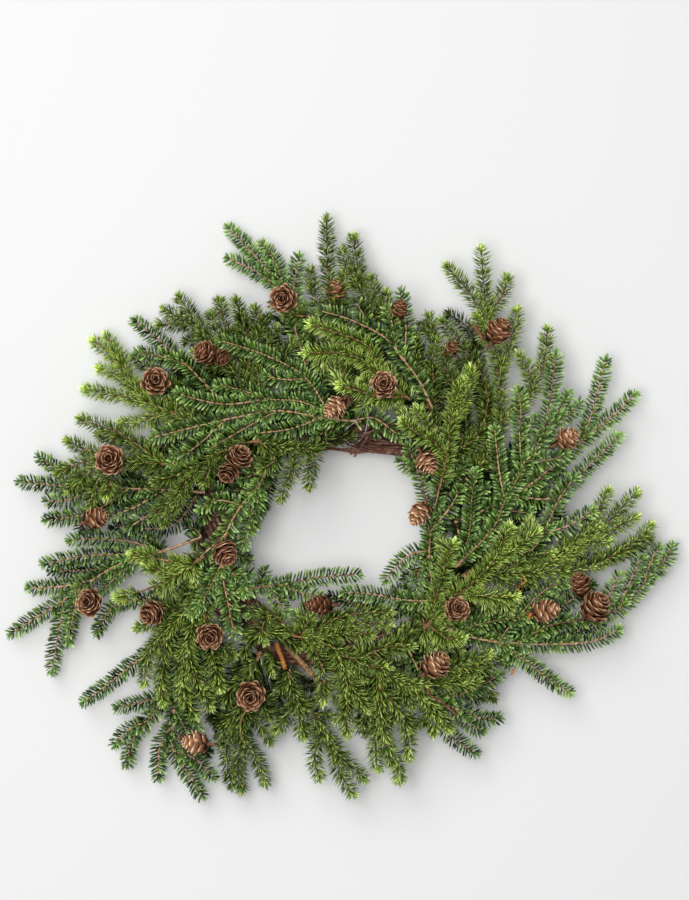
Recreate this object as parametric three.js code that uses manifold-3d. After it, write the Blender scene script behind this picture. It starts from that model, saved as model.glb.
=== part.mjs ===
// A fresh evergreen wreath lying on its back: a ring of twisted grapevine, boughs of fir and spruce
// bound to it with wire, and larch cones set among them.
// Millimetres, +Z up. Places in plan are [x, y] from a point near the middle of the opening.
import * as THREE from "three";
import { mergeVertices } from "three/addons/utils/BufferGeometryUtils.js";
import Module from "manifold-3d";

const wasm = await Module();
wasm.setup();

// Where the plan's origin lies from the middle of the whole wreath.
const PLAN_ORIGIN = [-9, -30.5];

// The ring is an oval of three vines twisted together. Each one's two ends almost meet.
const RING_CENTRE_X = 12;
const RING_HALF_LENGTH = 118.5;
const RING_HALF_WIDTH = 102;
const VINE_COUNT = 3;
const VINE_RADIUS = 7.5;
const VINE_TWIST_RADIUS = 11.5;
const VINE_TURNS = 4;
const VINE_STEPS = 48;
const VINE_SWEEP = THREE.MathUtils.degToRad(352);
const RING_HEIGHT = VINE_TWIST_RADIUS + VINE_RADIUS;

// The binding wire runs in the groove between two vines and ends in a loose loop on top.
const WIRE_RADIUS = 0.7;
const WIRE_GROOVE_RADIUS = 14.5;
const WIRE_STEPS = 72;
const WIRE_START = THREE.MathUtils.degToRad(-265);
const WIRE_END = THREE.MathUtils.degToRad(74);
const WIRE_LOOP = [
  [38, 131, 33], [27, 114, 40], [13.5, 101, 42], [13, 92, 41], [21, 87, 40], [29, 92, 41], [33, 104, 42],
  [31, 117, 43],
];
const WIRE_WOUND_POINTS = 36;

// The boughs lie over the ring like a low dome: highest on the ring, lower to each side.
const CROWN_HEIGHT = 44;
const OUTER_FALL = 0.15;
const INNER_FALL = 0.25;
const CROWN_ROUNDING = 12;

const LAYING_GAP = 0.3;
const LAYING_STEP = 1;

const COLOURS = {
  vine: 0x6b4632,
  wire: 0xb9bcbd,
  twig: 0x8a6a45,
  splinter: 0xb06a34,
  fir: 0x3f6b3c,
  spruce: 0x6c8a32,
  cone: 0x8a5a40,
};

// A shoot's width and depth with its needles pressed close, and its number of sides.
const SHOOTS = {
  fir: { width: 15, depth: 5, sides: 4 },
  spruce: { width: 11, depth: 9, sides: 5 },
};
const SHOOT_RING_EVERY = 22;

// Each bough is a list of lines in plan, laid in this order. The first line is the main stem, from
// its bound end to its tip, and each later one is a side shoot that grows from the nearest point of
// a line before it. rise is how far the tips lift above the dome.
const BOUGHS = [
  {
    kind: "fir", rise: -4,
    lines: [
      [[-108, 8], [-150, -8], [-190, -20], [-215, -35], [-240, -52], [-265, -68], [-293, -86]],
      [[-213, -34], [-240, -40], [-277, -42]],
      [[-241, -53], [-245, -80], [-250, -105], [-252, -122]],
      [[-226, -44], [-233, -70], [-238, -96]],
      [[-160, -11], [-215, -12], [-263, -21]],
      [[-150, -8], [-178, 0], [-210, 3], [-240, 1]],
      [[-172, -14], [-194, -32], [-208, -48]],
    ],
  },
  {
    kind: "fir", rise: -4,
    lines: [
      [[-14, 122], [-25, 170], [-40, 215], [-55, 243], [-95, 288]],
      [[-48, 232], [-70, 246], [-96, 258]],
      [[-42, 220], [-48, 250], [-65, 273]],
      [[-30, 190], [-33, 225], [-28, 262]],
    ],
  },
  {
    kind: "fir", rise: -6,
    lines: [
      [[68, -92], [95, -140], [120, -152], [140, -160], [157, -158]],
      [[98, -142], [128, -133], [158, -117]],
      [[94, -140], [104, -168], [118, -182], [135, -194]],
      [[112, -150], [127, -166], [141, -172]],
    ],
  },
  {
    kind: "fir", rise: 4,
    lines: [
      [[112, 18], [165, 42], [205, 72], [235, 98], [262, 120], [278, 137]],
      [[226, 90], [238, 122], [250, 169]],
      [[165, 42], [200, 40], [228, 64], [263, 99]],
    ],
  },
  {
    kind: "fir", rise: 0,
    lines: [
      [[104, -78], [140, -88], [170, -91], [200, -92], [238, -89], [265, -77]],
      [[170, -91], [195, -76], [225, -70], [262, -60], [285, -35], [305, -15], [311, 0]],
      [[150, -89], [172, -104], [190, -118], [220, -139]],
      [[262, -60], [270, -38], [283, -11]],
      [[284, -36], [290, -18], [299, 0]],
      [[240, -68], [252, -48], [262, -26]],
      [[112, -80], [140, -72], [165, -68], [185, -66]],
      [[150, -89], [175, -60], [195, -42], [215, -34]],
    ],
  },
  {
    kind: "fir", rise: -4,
    lines: [
      [[-104, -72], [-135, -120], [-160, -155], [-180, -182], [-184, -206]],
      [[-135, -120], [-142, -160], [-142, -188], [-130, -207], [-113, -234]],
      [[-142, -188], [-122, -196], [-103, -217]],
      [[-143, -165], [-154, -185], [-155, -219]],
      [[-165, -162], [-185, -172], [-197, -187]],
      [[-148, -138], [-172, -145], [-197, -151]],
      [[-135, -120], [-128, -148], [-118, -172]],
    ],
  },
  {
    kind: "fir", rise: 0,
    lines: [
      [[-112, 45], [-170, 48], [-235, 50], [-285, 55]],
      [[-212, 50], [-240, 62], [-267, 79]],
      [[-180, 48], [-215, 27], [-261, 19]],
      [[-150, 47], [-175, 32], [-202, 22]],
      [[-130, 46], [-158, 28], [-186, 10]],
      [[-212, 50], [-236, 38], [-260, 37]],
    ],
  },
  {
    kind: "spruce", rise: 0,
    lines: [
      [[18, 122], [10, 170], [2, 215], [-2, 245], [-3, 297]],
      [[12, 160], [31, 200], [26, 240], [20, 281]],
      [[28, 225], [15, 248], [10, 269]],
      [[35, 200], [50, 212], [50, 229]],
      [[5, 200], [-20, 203], [-46, 206]],
      [[2, 215], [12, 230], [12, 247]],
      [[34, 205], [41, 222], [34, 243]],
      [[8, 180], [-8, 205], [-14, 225], [-19, 250]],
    ],
  },
  {
    kind: "spruce", rise: 12,
    lines: [
      [[128, 58], [152, 100], [152, 150], [141, 205], [136, 269]],
      [[145, 190], [125, 225], [101, 253]],
      [[143, 205], [155, 222], [161, 244]],
      [[152, 150], [163, 180], [169, 215]],
      [[146, 178], [136, 192], [131, 209]],
      [[152, 110], [182, 135], [192, 160], [196, 197]],
      [[180, 132], [180, 150], [167, 173]],
    ],
  },
  {
    kind: "spruce", rise: -4,
    lines: [
      [[-38, -98], [-36, -125], [-28, -145], [-12, -158], [0, -178], [15, -198], [35, -217]],
      [[-31, -142], [-42, -162], [-52, -173]],
      [[-28, -146], [-27, -165], [-22, -180]],
      [[-6, -168], [-14, -192], [-8, -218]],
      [[2, -180], [8, -205], [23, -232]],
      [[-38, -102], [-52, -102], [-50, -122]],
    ],
  },
  {
    kind: "spruce", rise: 4,
    lines: [
      [[-108, -42], [-140, -72], [-162, -98], [-168, -133]],
      [[-142, -75], [-152, -110], [-150, -149]],
      [[-145, -76], [-160, -73], [-178, -78]],
      [[-112, -48], [-127, -95], [-118, -125], [-104, -154]],
      [[-126, -105], [-131, -135], [-118, -161]],
      [[-124, -85], [-133, -105], [-133, -132]],
      [[-112, -50], [-109, -80], [-103, -110], [-97, -136]],
    ],
  },
  {
    kind: "spruce", rise: 10,
    lines: [
      [[118, -30], [175, -28], [228, -24], [255, -12], [275, 0], [293, 19]],
      [[180, -28], [215, -6], [245, 14], [280, 49]],
      [[232, 5], [255, 12], [280, 25]],
      [[215, -5], [236, 20], [253, 51]],
      [[196, -16], [228, -3], [257, 3]],
      [[205, -24], [218, -5], [246, 19]],
      [[150, -29], [178, -14], [204, -8]],
    ],
  },
  {
    kind: "spruce", rise: -4,
    lines: [
      [[38, -96], [44, -130], [46, -155], [50, -180], [57, -204]],
      [[44, -130], [62, -150], [70, -172], [71, -199]],
      [[50, -180], [60, -198], [63, -220]],
      [[46, -155], [41, -185], [44, -209]],
      [[42, -115], [75, -130], [95, -150], [110, -173]],
      [[80, -133], [92, -155], [93, -177]],
      [[55, -122], [90, -128], [120, -117], [149, -98]],
      [[100, -126], [118, -128], [137, -122]],
      [[82, -128], [112, -112], [147, -97]],
    ],
  },
  {
    kind: "fir", rise: -4,
    lines: [
      [[-84, 112], [-115, 145], [-140, 170], [-181, 203]],
      [[-130, 160], [-155, 168], [-179, 172]],
    ],
  },
  {
    kind: "fir", rise: -4,
    lines: [
      [[-118, -50], [-150, -88], [-175, -108], [-200, -128], [-227, -148]],
      [[-128, -62], [-165, -52], [-195, -58], [-213, -86]],
    ],
  },
  {
    kind: "spruce", rise: 0,
    lines: [
      [[-112, 66], [-165, 72], [-205, 78], [-241, 93]],
      [[-150, 71], [-185, 95], [-230, 113]],
      [[-195, 76], [-210, 52], [-217, 26]],
      [[-205, 78], [-228, 70], [-251, 60]],
      [[-200, 77], [-222, 60], [-240, 42]],
      [[-185, 75], [-196, 58], [-203, 36]],
    ],
  },
  {
    kind: "spruce", rise: -2,
    lines: [
      [[-98, 92], [-140, 115], [-175, 128], [-227, 139]],
      [[-160, 123], [-190, 150], [-214, 158]],
      [[-150, 118], [-172, 108], [-195, 108]],
      [[-165, 125], [-180, 145], [-190, 168], [-206, 191]],
      [[-186, 156], [-200, 172], [-219, 184]],
    ],
  },
  {
    kind: "spruce", rise: 0,
    lines: [
      [[-62, 125], [-90, 158], [-120, 192], [-154, 212]],
      [[-112, 184], [-125, 205], [-140, 226]],
      [[-88, 156], [-95, 195], [-101, 223]],
      [[-125, 195], [-142, 196], [-160, 196]],
      [[-88, 156], [-108, 168], [-127, 172]],
      [[-75, 140], [-75, 185], [-87, 223]],
      [[-76, 165], [-64, 190], [-69, 216]],
      [[-66, 132], [-58, 170], [-46, 197]],
      [[-64, 128], [-46, 160], [-30, 186]],
      [[-95, 165], [-105, 195], [-108, 211]],
    ],
  },
  {
    kind: "spruce", rise: 4,
    lines: [
      [[100, 72], [135, 100], [140, 140], [120, 175], [97, 203]],
      [[112, 85], [92, 110], [92, 145], [96, 188]],
      [[92, 130], [80, 150], [75, 191]],
      [[92, 145], [78, 150], [68, 158]],
      [[95, 180], [92, 195], [87, 209]],
      [[122, 92], [118, 130], [106, 150], [104, 178]],
    ],
  },
  {
    kind: "fir", rise: 4,
    lines: [
      [[112, -22], [147, 15], [156, 36], [172, 65], [185, 85], [200, 108], [216, 138]],
      [[157, 38], [152, 60], [149, 85], [147, 107]],
      [[172, 66], [170, 95], [171, 125], [168, 142]],
      [[186, 86], [196, 120], [204, 174]],
      [[200, 108], [215, 115], [228, 129]],
      [[178, 72], [200, 75], [216, 81]],
      [[135, 2], [178, -8], [194, 15], [206, 40], [222, 62]],
      [[190, 8], [215, 16], [240, 32]],
    ],
  },
  {
    kind: "spruce", rise: -6,
    lines: [
      [[-62, -98], [-78, -140], [-80, -175], [-82, -205], [-80, -230]],
      [[-79, -150], [-62, -165], [-52, -185]],
      [[-80, -176], [-66, -195], [-57, -223]],
      [[-68, -115], [-88, -130], [-97, -152]],
      [[-79, -160], [-93, -182], [-88, -226]],
      [[-78, -148], [-95, -166], [-100, -188]],
      [[-75, -132], [-61, -146], [-52, -163]],
      [[-64, -104], [-73, -110], [-73, -124]],
    ],
  },
  {
    kind: "fir", rise: 6,
    lines: [
      [[96, -58], [90, -25], [90, 5], [97, 45], [103, 75], [106, 94]],
      [[90, 0], [83, 50], [68, 92]],
      [[92, -20], [120, -5], [126, 20], [127, 40], [132, 69]],
      [[95, 10], [110, 35], [118, 53]],
      [[88, -8], [70, -12], [47, -38]],
      [[90, -12], [80, -26], [78, -44]],
      [[94, -55], [70, -52], [40, -47], [8, -44]],
    ],
  },
  {
    kind: "fir", rise: 4,
    lines: [
      [[28, 108], [-8, 112], [-44, 118], [-80, 113], [-120, 104], [-163, 93]],
      [[-48, 117], [-75, 103], [-111, 82]],
      [[-92, 110], [-115, 90], [-146, 67]],
      [[-8, 112], [-35, 102], [-73, 97]],
      [[10, 112], [-25, 126], [-57, 129], [-80, 137], [-106, 142]],
      [[-57, 129], [-92, 124], [-125, 130], [-141, 136]],
      [[0, 118], [-22, 148], [-58, 168], [-104, 183]],
      [[-20, 147], [-40, 146], [-63, 151]],
      [[22, 108], [38, 112], [50, 105], [66, 92]],
    ],
  },
  {
    kind: "fir", rise: 0,
    lines: [
      [[-48, 82], [-62, 54], [-78, 35], [-90, 15], [-98, -15], [-93, -45], [-88, -70], [-84, -87]],
      [[-62, 54], [-72, 22], [-78, -8]],
      [[-64, 50], [-66, 30], [-71, 6]],
      [[-80, 33], [-100, 38], [-121, 28]],
      [[-97, -20], [-79, -35], [-76, -50]],
      [[-98, -20], [-112, -48], [-127, -67]],
      [[-93, -45], [-70, -41], [-40, -37], [-5, -31], [30, -29]],
      [[-55, -39], [-45, -55], [-36, -67]],
      [[-45, -38], [-25, -45], [-4, -50]],
      [[-92, 8], [-122, -18], [-142, -34]],
    ],
  },
  {
    kind: "spruce", rise: 12,
    lines: [
      [[72, 128], [45, 150], [20, 168], [-28, 170]],
      [[45, 150], [35, 175], [0, 190], [-23, 198]],
      [[70, 129], [45, 131], [25, 136], [4, 142]],
    ],
  },
  {
    kind: "spruce", rise: 16,
    lines: [
      [[98, 48], [105, 80], [110, 120], [122, 151]],
      [[108, 108], [123, 135], [126, 161]],
      [[104, 78], [90, 95], [76, 125]],
      [[94, 90], [78, 98], [61, 112]],
    ],
  },
  {
    kind: "spruce", rise: 14,
    lines: [
      [[84, -78], [100, -58], [118, -44], [143, -20], [163, 20]],
      [[88, -70], [100, -30], [112, 5]],
      [[143, -20], [165, -5], [190, 14]],
      [[118, -44], [145, -48], [172, -48]],
      [[88, -76], [105, -85], [124, -84]],
    ],
  },
  {
    kind: "spruce", rise: 6,
    lines: [
      [[-35, -82], [0, -92], [20, -104], [38, -110], [58, -112]],
      [[-22, -86], [5, -82], [25, -80], [42, -84]],
      [[0, -84], [25, -72], [58, -74]],
      [[-35, -82], [-52, -64], [-60, -74], [-58, -92]],
      [[-18, -88], [-6, -115], [-6, -147]],
      [[5, -95], [15, -125], [15, -150], [15, -177]],
      [[12, -110], [22, -132], [36, -153]],
      [[22, -102], [55, -92], [78, -92]],
      [[-20, -87], [0, -70], [25, -63], [58, -62]],
      [[-25, -85], [-20, -72], [-14, -60]],
    ],
  },
  {
    kind: "spruce", rise: 6,
    lines: [
      [[-62, 92], [-90, 85], [-120, 65], [-132, 48], [-141, 26]],
      [[-112, 70], [-140, 60], [-162, 54]],
      [[-102, 78], [-108, 62], [-115, 48]],
      [[-130, 50], [-142, 32], [-151, 13]],
      [[-62, 92], [-30, 78], [-38, 55], [-46, 34]],
      [[-54, 82], [-15, 80], [-18, 62], [-19, 45]],
      [[-120, 65], [-142, 38], [-163, 18]],
      [[-62, 92], [-48, 76], [-66, 63]],
    ],
  },
  {
    kind: "fir", rise: 10,
    lines: [
      [[92, 120], [80, 145], [65, 165], [50, 183], [20, 199], [-13, 209]],
      [[66, 163], [68, 195], [63, 229]],
      [[60, 172], [56, 194], [50, 214]],
    ],
  },
  {
    kind: "spruce", rise: 2,
    lines: [
      [[-112, -12], [-140, -30], [-165, -42], [-196, -50]],
      [[-125, -20], [-150, -15], [-182, -9]],
      [[-140, -30], [-152, -25], [-170, -18]],
    ],
  },
];

// A cone's greatest diameter, its length, where it is, the way its tip heads in plan (degrees from
// +X), and its lean (0 looks straight up, 90 lies flat). A twin grows on the same stalk.
const CONES = [
  { at: [-42, 219], diameter: 27, length: 24, heading: 200, lean: 10 },
  {
    at: [-112, 170], diameter: 24, length: 25, heading: 150, lean: 55,
    twin: { at: [-96, 165], heading: 330 },
  },
  { at: [-157, 145], diameter: 27, length: 24, heading: 60, lean: 10 },
  { at: [-197, 74], diameter: 30, length: 26, heading: 120, lean: 12 },
  { at: [-209, 22], diameter: 24, length: 26, heading: 20, lean: 80 },
  { at: [-216, -54], diameter: 27, length: 24, heading: 150, lean: 20 },
  { at: [-93, -9], diameter: 26, length: 28, heading: 300, lean: 50 },
  { at: [-160, -63], diameter: 24, length: 26, heading: 215, lean: 45 },
  { at: [-107, -83], diameter: 26, length: 24, heading: 270, lean: 15 },
  { at: [-71, -137], diameter: 28, length: 24, heading: 250, lean: 8 },
  { at: [-122, -180], diameter: 24, length: 28, heading: 175, lean: 90 },
  {
    at: [-80, 77], diameter: 25, length: 26, heading: 60, lean: 40,
    twin: { at: [-92, 60], heading: 250 },
  },
  { at: [4, 120], diameter: 22, length: 28, heading: 225, lean: 75 },
  { at: [48, 141], diameter: 26, length: 24, heading: 90, lean: 12 },
  { at: [151, 190], diameter: 27, length: 29, heading: 60, lean: 65 },
  { at: [87, 71], diameter: 23, length: 26, heading: 300, lean: 70 },
  { at: [79, 25], diameter: 23, length: 27, heading: 240, lean: 80 },
  { at: [213, 94], diameter: 23, length: 27, heading: 30, lean: 80 },
  { at: [113, -59], diameter: 25, length: 24, heading: 60, lean: 15 },
  { at: [95, -108], diameter: 28, length: 32, heading: 40, lean: 70 },
  {
    at: [238, -57], diameter: 27, length: 30, heading: 340, lean: 75,
    twin: { at: [225, -37], heading: 110 },
  },
  { at: [194, -61], diameter: 22, length: 26, heading: 10, lean: 80 },
  { at: [-11, -55], diameter: 22, length: 30, heading: 180, lean: 85 },
];
const STALK_WIDTH = 3.2;
const STALK_LENGTH = 10;
const STALK_IN_CONE = 3;
const STALK_SHOWS_FROM = 30;

// Two cut pieces of wood that stick out of the ring, each from its hidden end to its cut end.
const CUT_WOOD = [
  { name: "cut_vine_twig", colour: "twig", from: [-39, -93, 43], to: [-6, -130, 36], width: 7.2 },
  {
    name: "cut_vine_splinter", colour: "splinter",
    from: [-46, -90, 43], to: [-37, -114, 41], width: 5.2,
  },
];

const UP = new THREE.Vector3(0, 0, 1);

// ---------------------------------------------------------------- solids

function solidOf(geometry) {
  const plain = geometry.clone();
  plain.deleteAttribute("normal");
  plain.deleteAttribute("uv");
  const merged = mergeVertices(plain, 1e-3);
  return new wasm.Manifold(
    new wasm.Mesh({
      numProp: 3,
      vertProperties: merged.attributes.position.array,
      triVerts: new Uint32Array(merged.index.array),
    }),
  );
}

function geometryOf(solid) {
  const mesh = solid.getMesh();
  const geometry = new THREE.BufferGeometry();
  geometry.setAttribute("position", new THREE.BufferAttribute(mesh.vertProperties, 3));
  geometry.setIndex(new THREE.BufferAttribute(mesh.triVerts, 1));
  geometry.computeVertexNormals();
  return geometry;
}

function joined(geometries) {
  const solids = geometries.map(solidOf);
  return geometryOf(solids.reduce((whole, piece) => whole.add(piece)));
}

// A round bar along a curve, for the vines and the wire.
function bar(curve, radius, steps, sides) {
  const corners = [];
  for (let i = 0; i < sides; i++) {
    const turn = (2 * Math.PI * i) / sides;
    corners.push(new THREE.Vector2(radius * Math.cos(turn), radius * Math.sin(turn)));
  }
  return new THREE.ExtrudeGeometry(new THREE.Shape(corners), { steps, extrudePath: curve });
}

// A turned body laid along a curve. The profile gives [share of the length, share of the radius].
function turnedAlong(curve, profile, width, depth, sides) {
  const points = profile.map(([along, radius]) => new THREE.Vector2(radius, along));
  const geometry = new THREE.LatheGeometry(points, sides);
  const position = geometry.attributes.position;
  const local = new THREE.Vector3();
  for (let i = 0; i < position.count; i++) {
    local.fromBufferAttribute(position, i);
    const along = THREE.MathUtils.clamp(local.y, 0, 1);
    const tangent = curve.getTangentAt(along);
    const side = new THREE.Vector3().crossVectors(tangent, UP);
    if (side.lengthSq() < 1e-4) side.set(1, 0, 0);
    side.normalize();
    const over = new THREE.Vector3().crossVectors(side, tangent);
    const point = curve.getPointAt(along);
    point.addScaledVector(side, (local.x * width) / 2);
    point.addScaledVector(over, (local.z * depth) / 2);
    position.setXYZ(i, point.x, point.y, point.z);
  }
  return geometry;
}

// ---------------------------------------------------------------- ring

class TwistedCurve extends THREE.Curve {
  constructor(start, sweep, twistRadius, phase) {
    super();
    Object.assign(this, { start, sweep, twistRadius, phase });
  }

  getPoint(t, target = new THREE.Vector3()) {
    const angle = this.start + this.sweep * t;
    const twist = this.phase + VINE_TURNS * angle;
    const out = this.twistRadius * Math.cos(twist);
    const height = RING_HEIGHT + this.twistRadius * Math.sin(twist);
    const x = RING_CENTRE_X + (RING_HALF_LENGTH + out) * Math.cos(angle);
    return target.set(x, (RING_HALF_WIDTH + out) * Math.sin(angle), height);
  }
}

function ringVine(index) {
  const phase = (2 * Math.PI * index) / VINE_COUNT;
  const curve = new TwistedCurve(phase, VINE_SWEEP, VINE_TWIST_RADIUS, phase);
  return bar(curve, VINE_RADIUS, VINE_STEPS, 6);
}

function bindingWire() {
  const groove = Math.PI / VINE_COUNT;
  const sweep = WIRE_END - WIRE_START;
  const wound = new TwistedCurve(WIRE_START, sweep, WIRE_GROOVE_RADIUS, groove);
  const loop = WIRE_LOOP.map((point) => new THREE.Vector3(...point));
  const route = new THREE.CatmullRomCurve3([...wound.getPoints(WIRE_WOUND_POINTS), ...loop]);
  return bar(route, WIRE_RADIUS, WIRE_STEPS, 4);
}

function cutWood({ from, to, width }) {
  const line = new THREE.LineCurve3(new THREE.Vector3(...from), new THREE.Vector3(...to));
  const profile = [[0, 0], [0, 0.8], [0.5, 1], [0.97, 0.75], [1, 0]];
  return turnedAlong(line, profile, width, width, 6);
}

// ---------------------------------------------------------------- boughs

function domeHeight(x, y) {
  const fromRing = Math.hypot((x - RING_CENTRE_X) / RING_HALF_LENGTH, y / RING_HALF_WIDTH) - 1;
  const offset = fromRing * Math.hypot(x - RING_CENTRE_X, y) / (fromRing + 1);
  const fall = offset > 0 ? OUTER_FALL : INNER_FALL;
  return CROWN_HEIGHT - fall * (Math.hypot(offset, CROWN_ROUNDING) - CROWN_ROUNDING);
}

// A line of the plan as a curve over the dome. A side shoot starts at the lift its stem has there.
function curveOver(line, startLift, tipLift) {
  const points = line.map(([x, y], i) => {
    const share = i / (line.length - 1);
    const lift = startLift + (tipLift - startLift) * share;
    return new THREE.Vector3(x, y, domeHeight(x, y) + lift);
  });
  return new THREE.CatmullRomCurve3(points, false, "centripetal");
}

function nearestOn(curves, [x, y]) {
  const places = curves.flatMap((curve) => curve.getSpacedPoints(40).slice(2, -4));
  const distance = (place) => Math.hypot(place.x - x, place.y - y);
  return places.reduce((best, place) => (distance(place) < distance(best) ? place : best));
}

function boughCurves({ lines, rise }) {
  const curves = [curveOver(lines[0], 0, rise)];
  for (const line of lines.slice(1)) {
    const root = nearestOn(curves, line[0]);
    const startLift = root.z - domeHeight(root.x, root.y);
    curves.push(curveOver([[root.x, root.y], ...line.slice(1)], startLift, rise));
  }
  return curves;
}

function needledShoot(curve, { width, depth, sides }) {
  const rings = Math.max(2, Math.round(curve.getLength() / SHOOT_RING_EVERY));
  const profile = [[0, 0], [0.02, 0.35]];
  for (let i = 1; i <= rings; i++) profile.push([(0.92 * i) / rings, i < rings ? 1 : 0.7]);
  profile.push([1, 0]);
  return turnedAlong(curve, profile, width, depth, sides);
}

function bough(plan) {
  return joined(boughCurves(plan).map((curve) => needledShoot(curve, SHOOTS[plan.kind])));
}

// ---------------------------------------------------------------- cones

function coneBody({ at, diameter, length, heading, lean }) {
  const turn = THREE.MathUtils.degToRad(heading);
  const tilt = THREE.MathUtils.degToRad(lean);
  const axis = new THREE.Vector3(
    Math.sin(tilt) * Math.cos(turn),
    Math.sin(tilt) * Math.sin(turn),
    Math.cos(tilt),
  );
  const centre = new THREE.Vector3(at[0], at[1], domeHeight(...at) + diameter / 2);
  const base = centre.clone().addScaledVector(axis, -length / 2);
  const tip = centre.clone().addScaledVector(axis, length / 2);
  const profile = [[0, 0], [0.04, 0.5], [0.25, 0.93], [0.45, 1], [0.75, 0.8], [0.94, 0.42], [1, 0]];
  const body = turnedAlong(new THREE.LineCurve3(base, tip), profile, diameter, diameter, 8);
  return { axis, base, body };
}

function stalk(from, to) {
  const profile = [[0, 0], [0.02, 1], [0.98, 1], [1, 0]];
  return turnedAlong(new THREE.LineCurve3(from, to), profile, STALK_WIDTH, STALK_WIDTH, 5);
}

// A cone that leans has its stalk behind it. One that looks up sits on the boughs and hides it.
function cone(plan) {
  const { axis, base, body } = coneBody(plan);
  const pieces = [body];
  const inside = base.clone().addScaledVector(axis, STALK_IN_CONE);
  if (plan.lean > STALK_SHOWS_FROM) {
    pieces.push(stalk(inside, base.clone().addScaledVector(axis, -STALK_LENGTH)));
  }
  if (plan.twin) {
    const twin = coneBody({ ...plan, ...plan.twin });
    const twinInside = twin.base.clone().addScaledVector(twin.axis, STALK_IN_CONE);
    pieces.push(twin.body, stalk(inside, twinInside));
  }
  return joined(pieces);
}

// ---------------------------------------------------------------- the wreath

const wreath = new THREE.Group();
wreath.position.set(PLAN_ORIGIN[0], PLAN_ORIGIN[1], 0);
const laid = [];

function twoDigits(number) {
  return String(number).padStart(2, "0");
}

function add(name, colour, geometry) {
  const material = new THREE.MeshStandardMaterial({
    color: COLOURS[colour],
    roughness: colour === "wire" ? 0.35 : 0.8,
    metalness: colour === "wire" ? 0.9 : 0,
  });
  const mesh = new THREE.Mesh(geometry, material);
  mesh.name = name;
  wreath.add(mesh);
  geometry.computeBoundingBox();
  laid.push({ solid: solidOf(geometry), box: geometry.boundingBox.clone() });
}

function isClear(geometry) {
  geometry.computeBoundingBox();
  const near = laid.filter(({ box }) => box.intersectsBox(geometry.boundingBox));
  if (!near.length) return true;
  const solid = solidOf(geometry);
  return near.every((other) => solid.intersect(other.solid).volume() === 0);
}

function liftUntilClear(geometry) {
  while (!isClear(geometry)) geometry.translate(0, 0, LAYING_STEP);
}

// Each piece is laid on those before it: it is lifted until it clears them all, with a small gap
// under it.
function lay(name, colour, geometry) {
  liftUntilClear(geometry);
  geometry.translate(0, 0, LAYING_GAP);
  liftUntilClear(geometry);
  add(name, colour, geometry);
}

for (let i = 0; i < VINE_COUNT; i++) add(`ring_vine_${i + 1}`, "vine", ringVine(i));
add("binding_wire", "wire", bindingWire());
for (const piece of CUT_WOOD) lay(piece.name, piece.colour, cutWood(piece));

const counted = { fir: 0, spruce: 0 };
for (const plan of BOUGHS) {
  counted[plan.kind] += 1;
  lay(`${plan.kind}_bough_${twoDigits(counted[plan.kind])}`, plan.kind, bough(plan));
}
CONES.forEach((plan, i) => lay(`cone_${twoDigits(i + 1)}`, "cone", cone(plan)));

export default wreath;
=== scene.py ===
"""A fresh evergreen wreath lying on its back: fir and spruce boughs bound with wire on a ring of
twisted grapevine, with larch cones among them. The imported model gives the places, and this script
makes what is seen: every needle, stem, cone scale and strand of vine."""
import math

import bmesh
import bpy
import numpy as np
from mathutils import Matrix, Vector, noise


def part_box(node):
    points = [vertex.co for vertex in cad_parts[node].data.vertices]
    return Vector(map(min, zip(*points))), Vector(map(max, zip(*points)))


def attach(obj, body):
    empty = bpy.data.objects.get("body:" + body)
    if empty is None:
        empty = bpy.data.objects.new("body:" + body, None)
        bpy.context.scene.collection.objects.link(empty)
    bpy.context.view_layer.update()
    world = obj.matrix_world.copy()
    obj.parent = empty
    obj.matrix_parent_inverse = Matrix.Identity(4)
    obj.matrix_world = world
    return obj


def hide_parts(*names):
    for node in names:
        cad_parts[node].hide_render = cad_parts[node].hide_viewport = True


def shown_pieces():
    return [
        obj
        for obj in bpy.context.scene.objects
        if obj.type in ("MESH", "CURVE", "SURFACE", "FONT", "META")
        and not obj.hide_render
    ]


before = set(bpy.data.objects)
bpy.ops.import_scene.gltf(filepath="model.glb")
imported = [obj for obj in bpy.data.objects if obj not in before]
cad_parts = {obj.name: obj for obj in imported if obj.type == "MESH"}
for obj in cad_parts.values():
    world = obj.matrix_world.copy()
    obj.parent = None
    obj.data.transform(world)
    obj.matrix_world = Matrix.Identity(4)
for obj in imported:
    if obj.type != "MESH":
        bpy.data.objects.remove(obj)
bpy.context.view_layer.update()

MM = 0.001

# ------------------------------------------------------------------ layout, in millimetres

PLAN_ORIGIN = (-9, -30.5)
RING_CENTRE_X = 12
RING_HALF_LENGTH = 118.5
RING_HALF_WIDTH = 102
VINE_TURNS = 4
VINE_TWIST_RADIUS = 11.5
VINE_COUNT = 3
VINE_SWEEP = math.radians(352)
RING_HEIGHT = 19
WIRE_START = math.radians(-265)
WIRE_END = math.radians(74)
WIRE_GROOVE_RADIUS = 14.5
WIRE_RADIUS = 0.45
WIRE_PLACES = 37
WIRE_LOOP = [
    (37, 140), (31, 128), (25, 111), (15, 102), (12.5, 97), (15, 91), (21, 88), (27, 92), (31.5, 99),
    (34, 112), (33, 119),
]

# The dome that the boughs lie over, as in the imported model.
CROWN_HEIGHT = 44
OUTER_FALL = 0.15
INNER_FALL = 0.25
CROWN_ROUNDING = 12

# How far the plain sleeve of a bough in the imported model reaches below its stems: a share of its
# depth.
UNDERSIDE = {"fir": 0.5 * 5, "spruce": 0.405 * 9}

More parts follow.
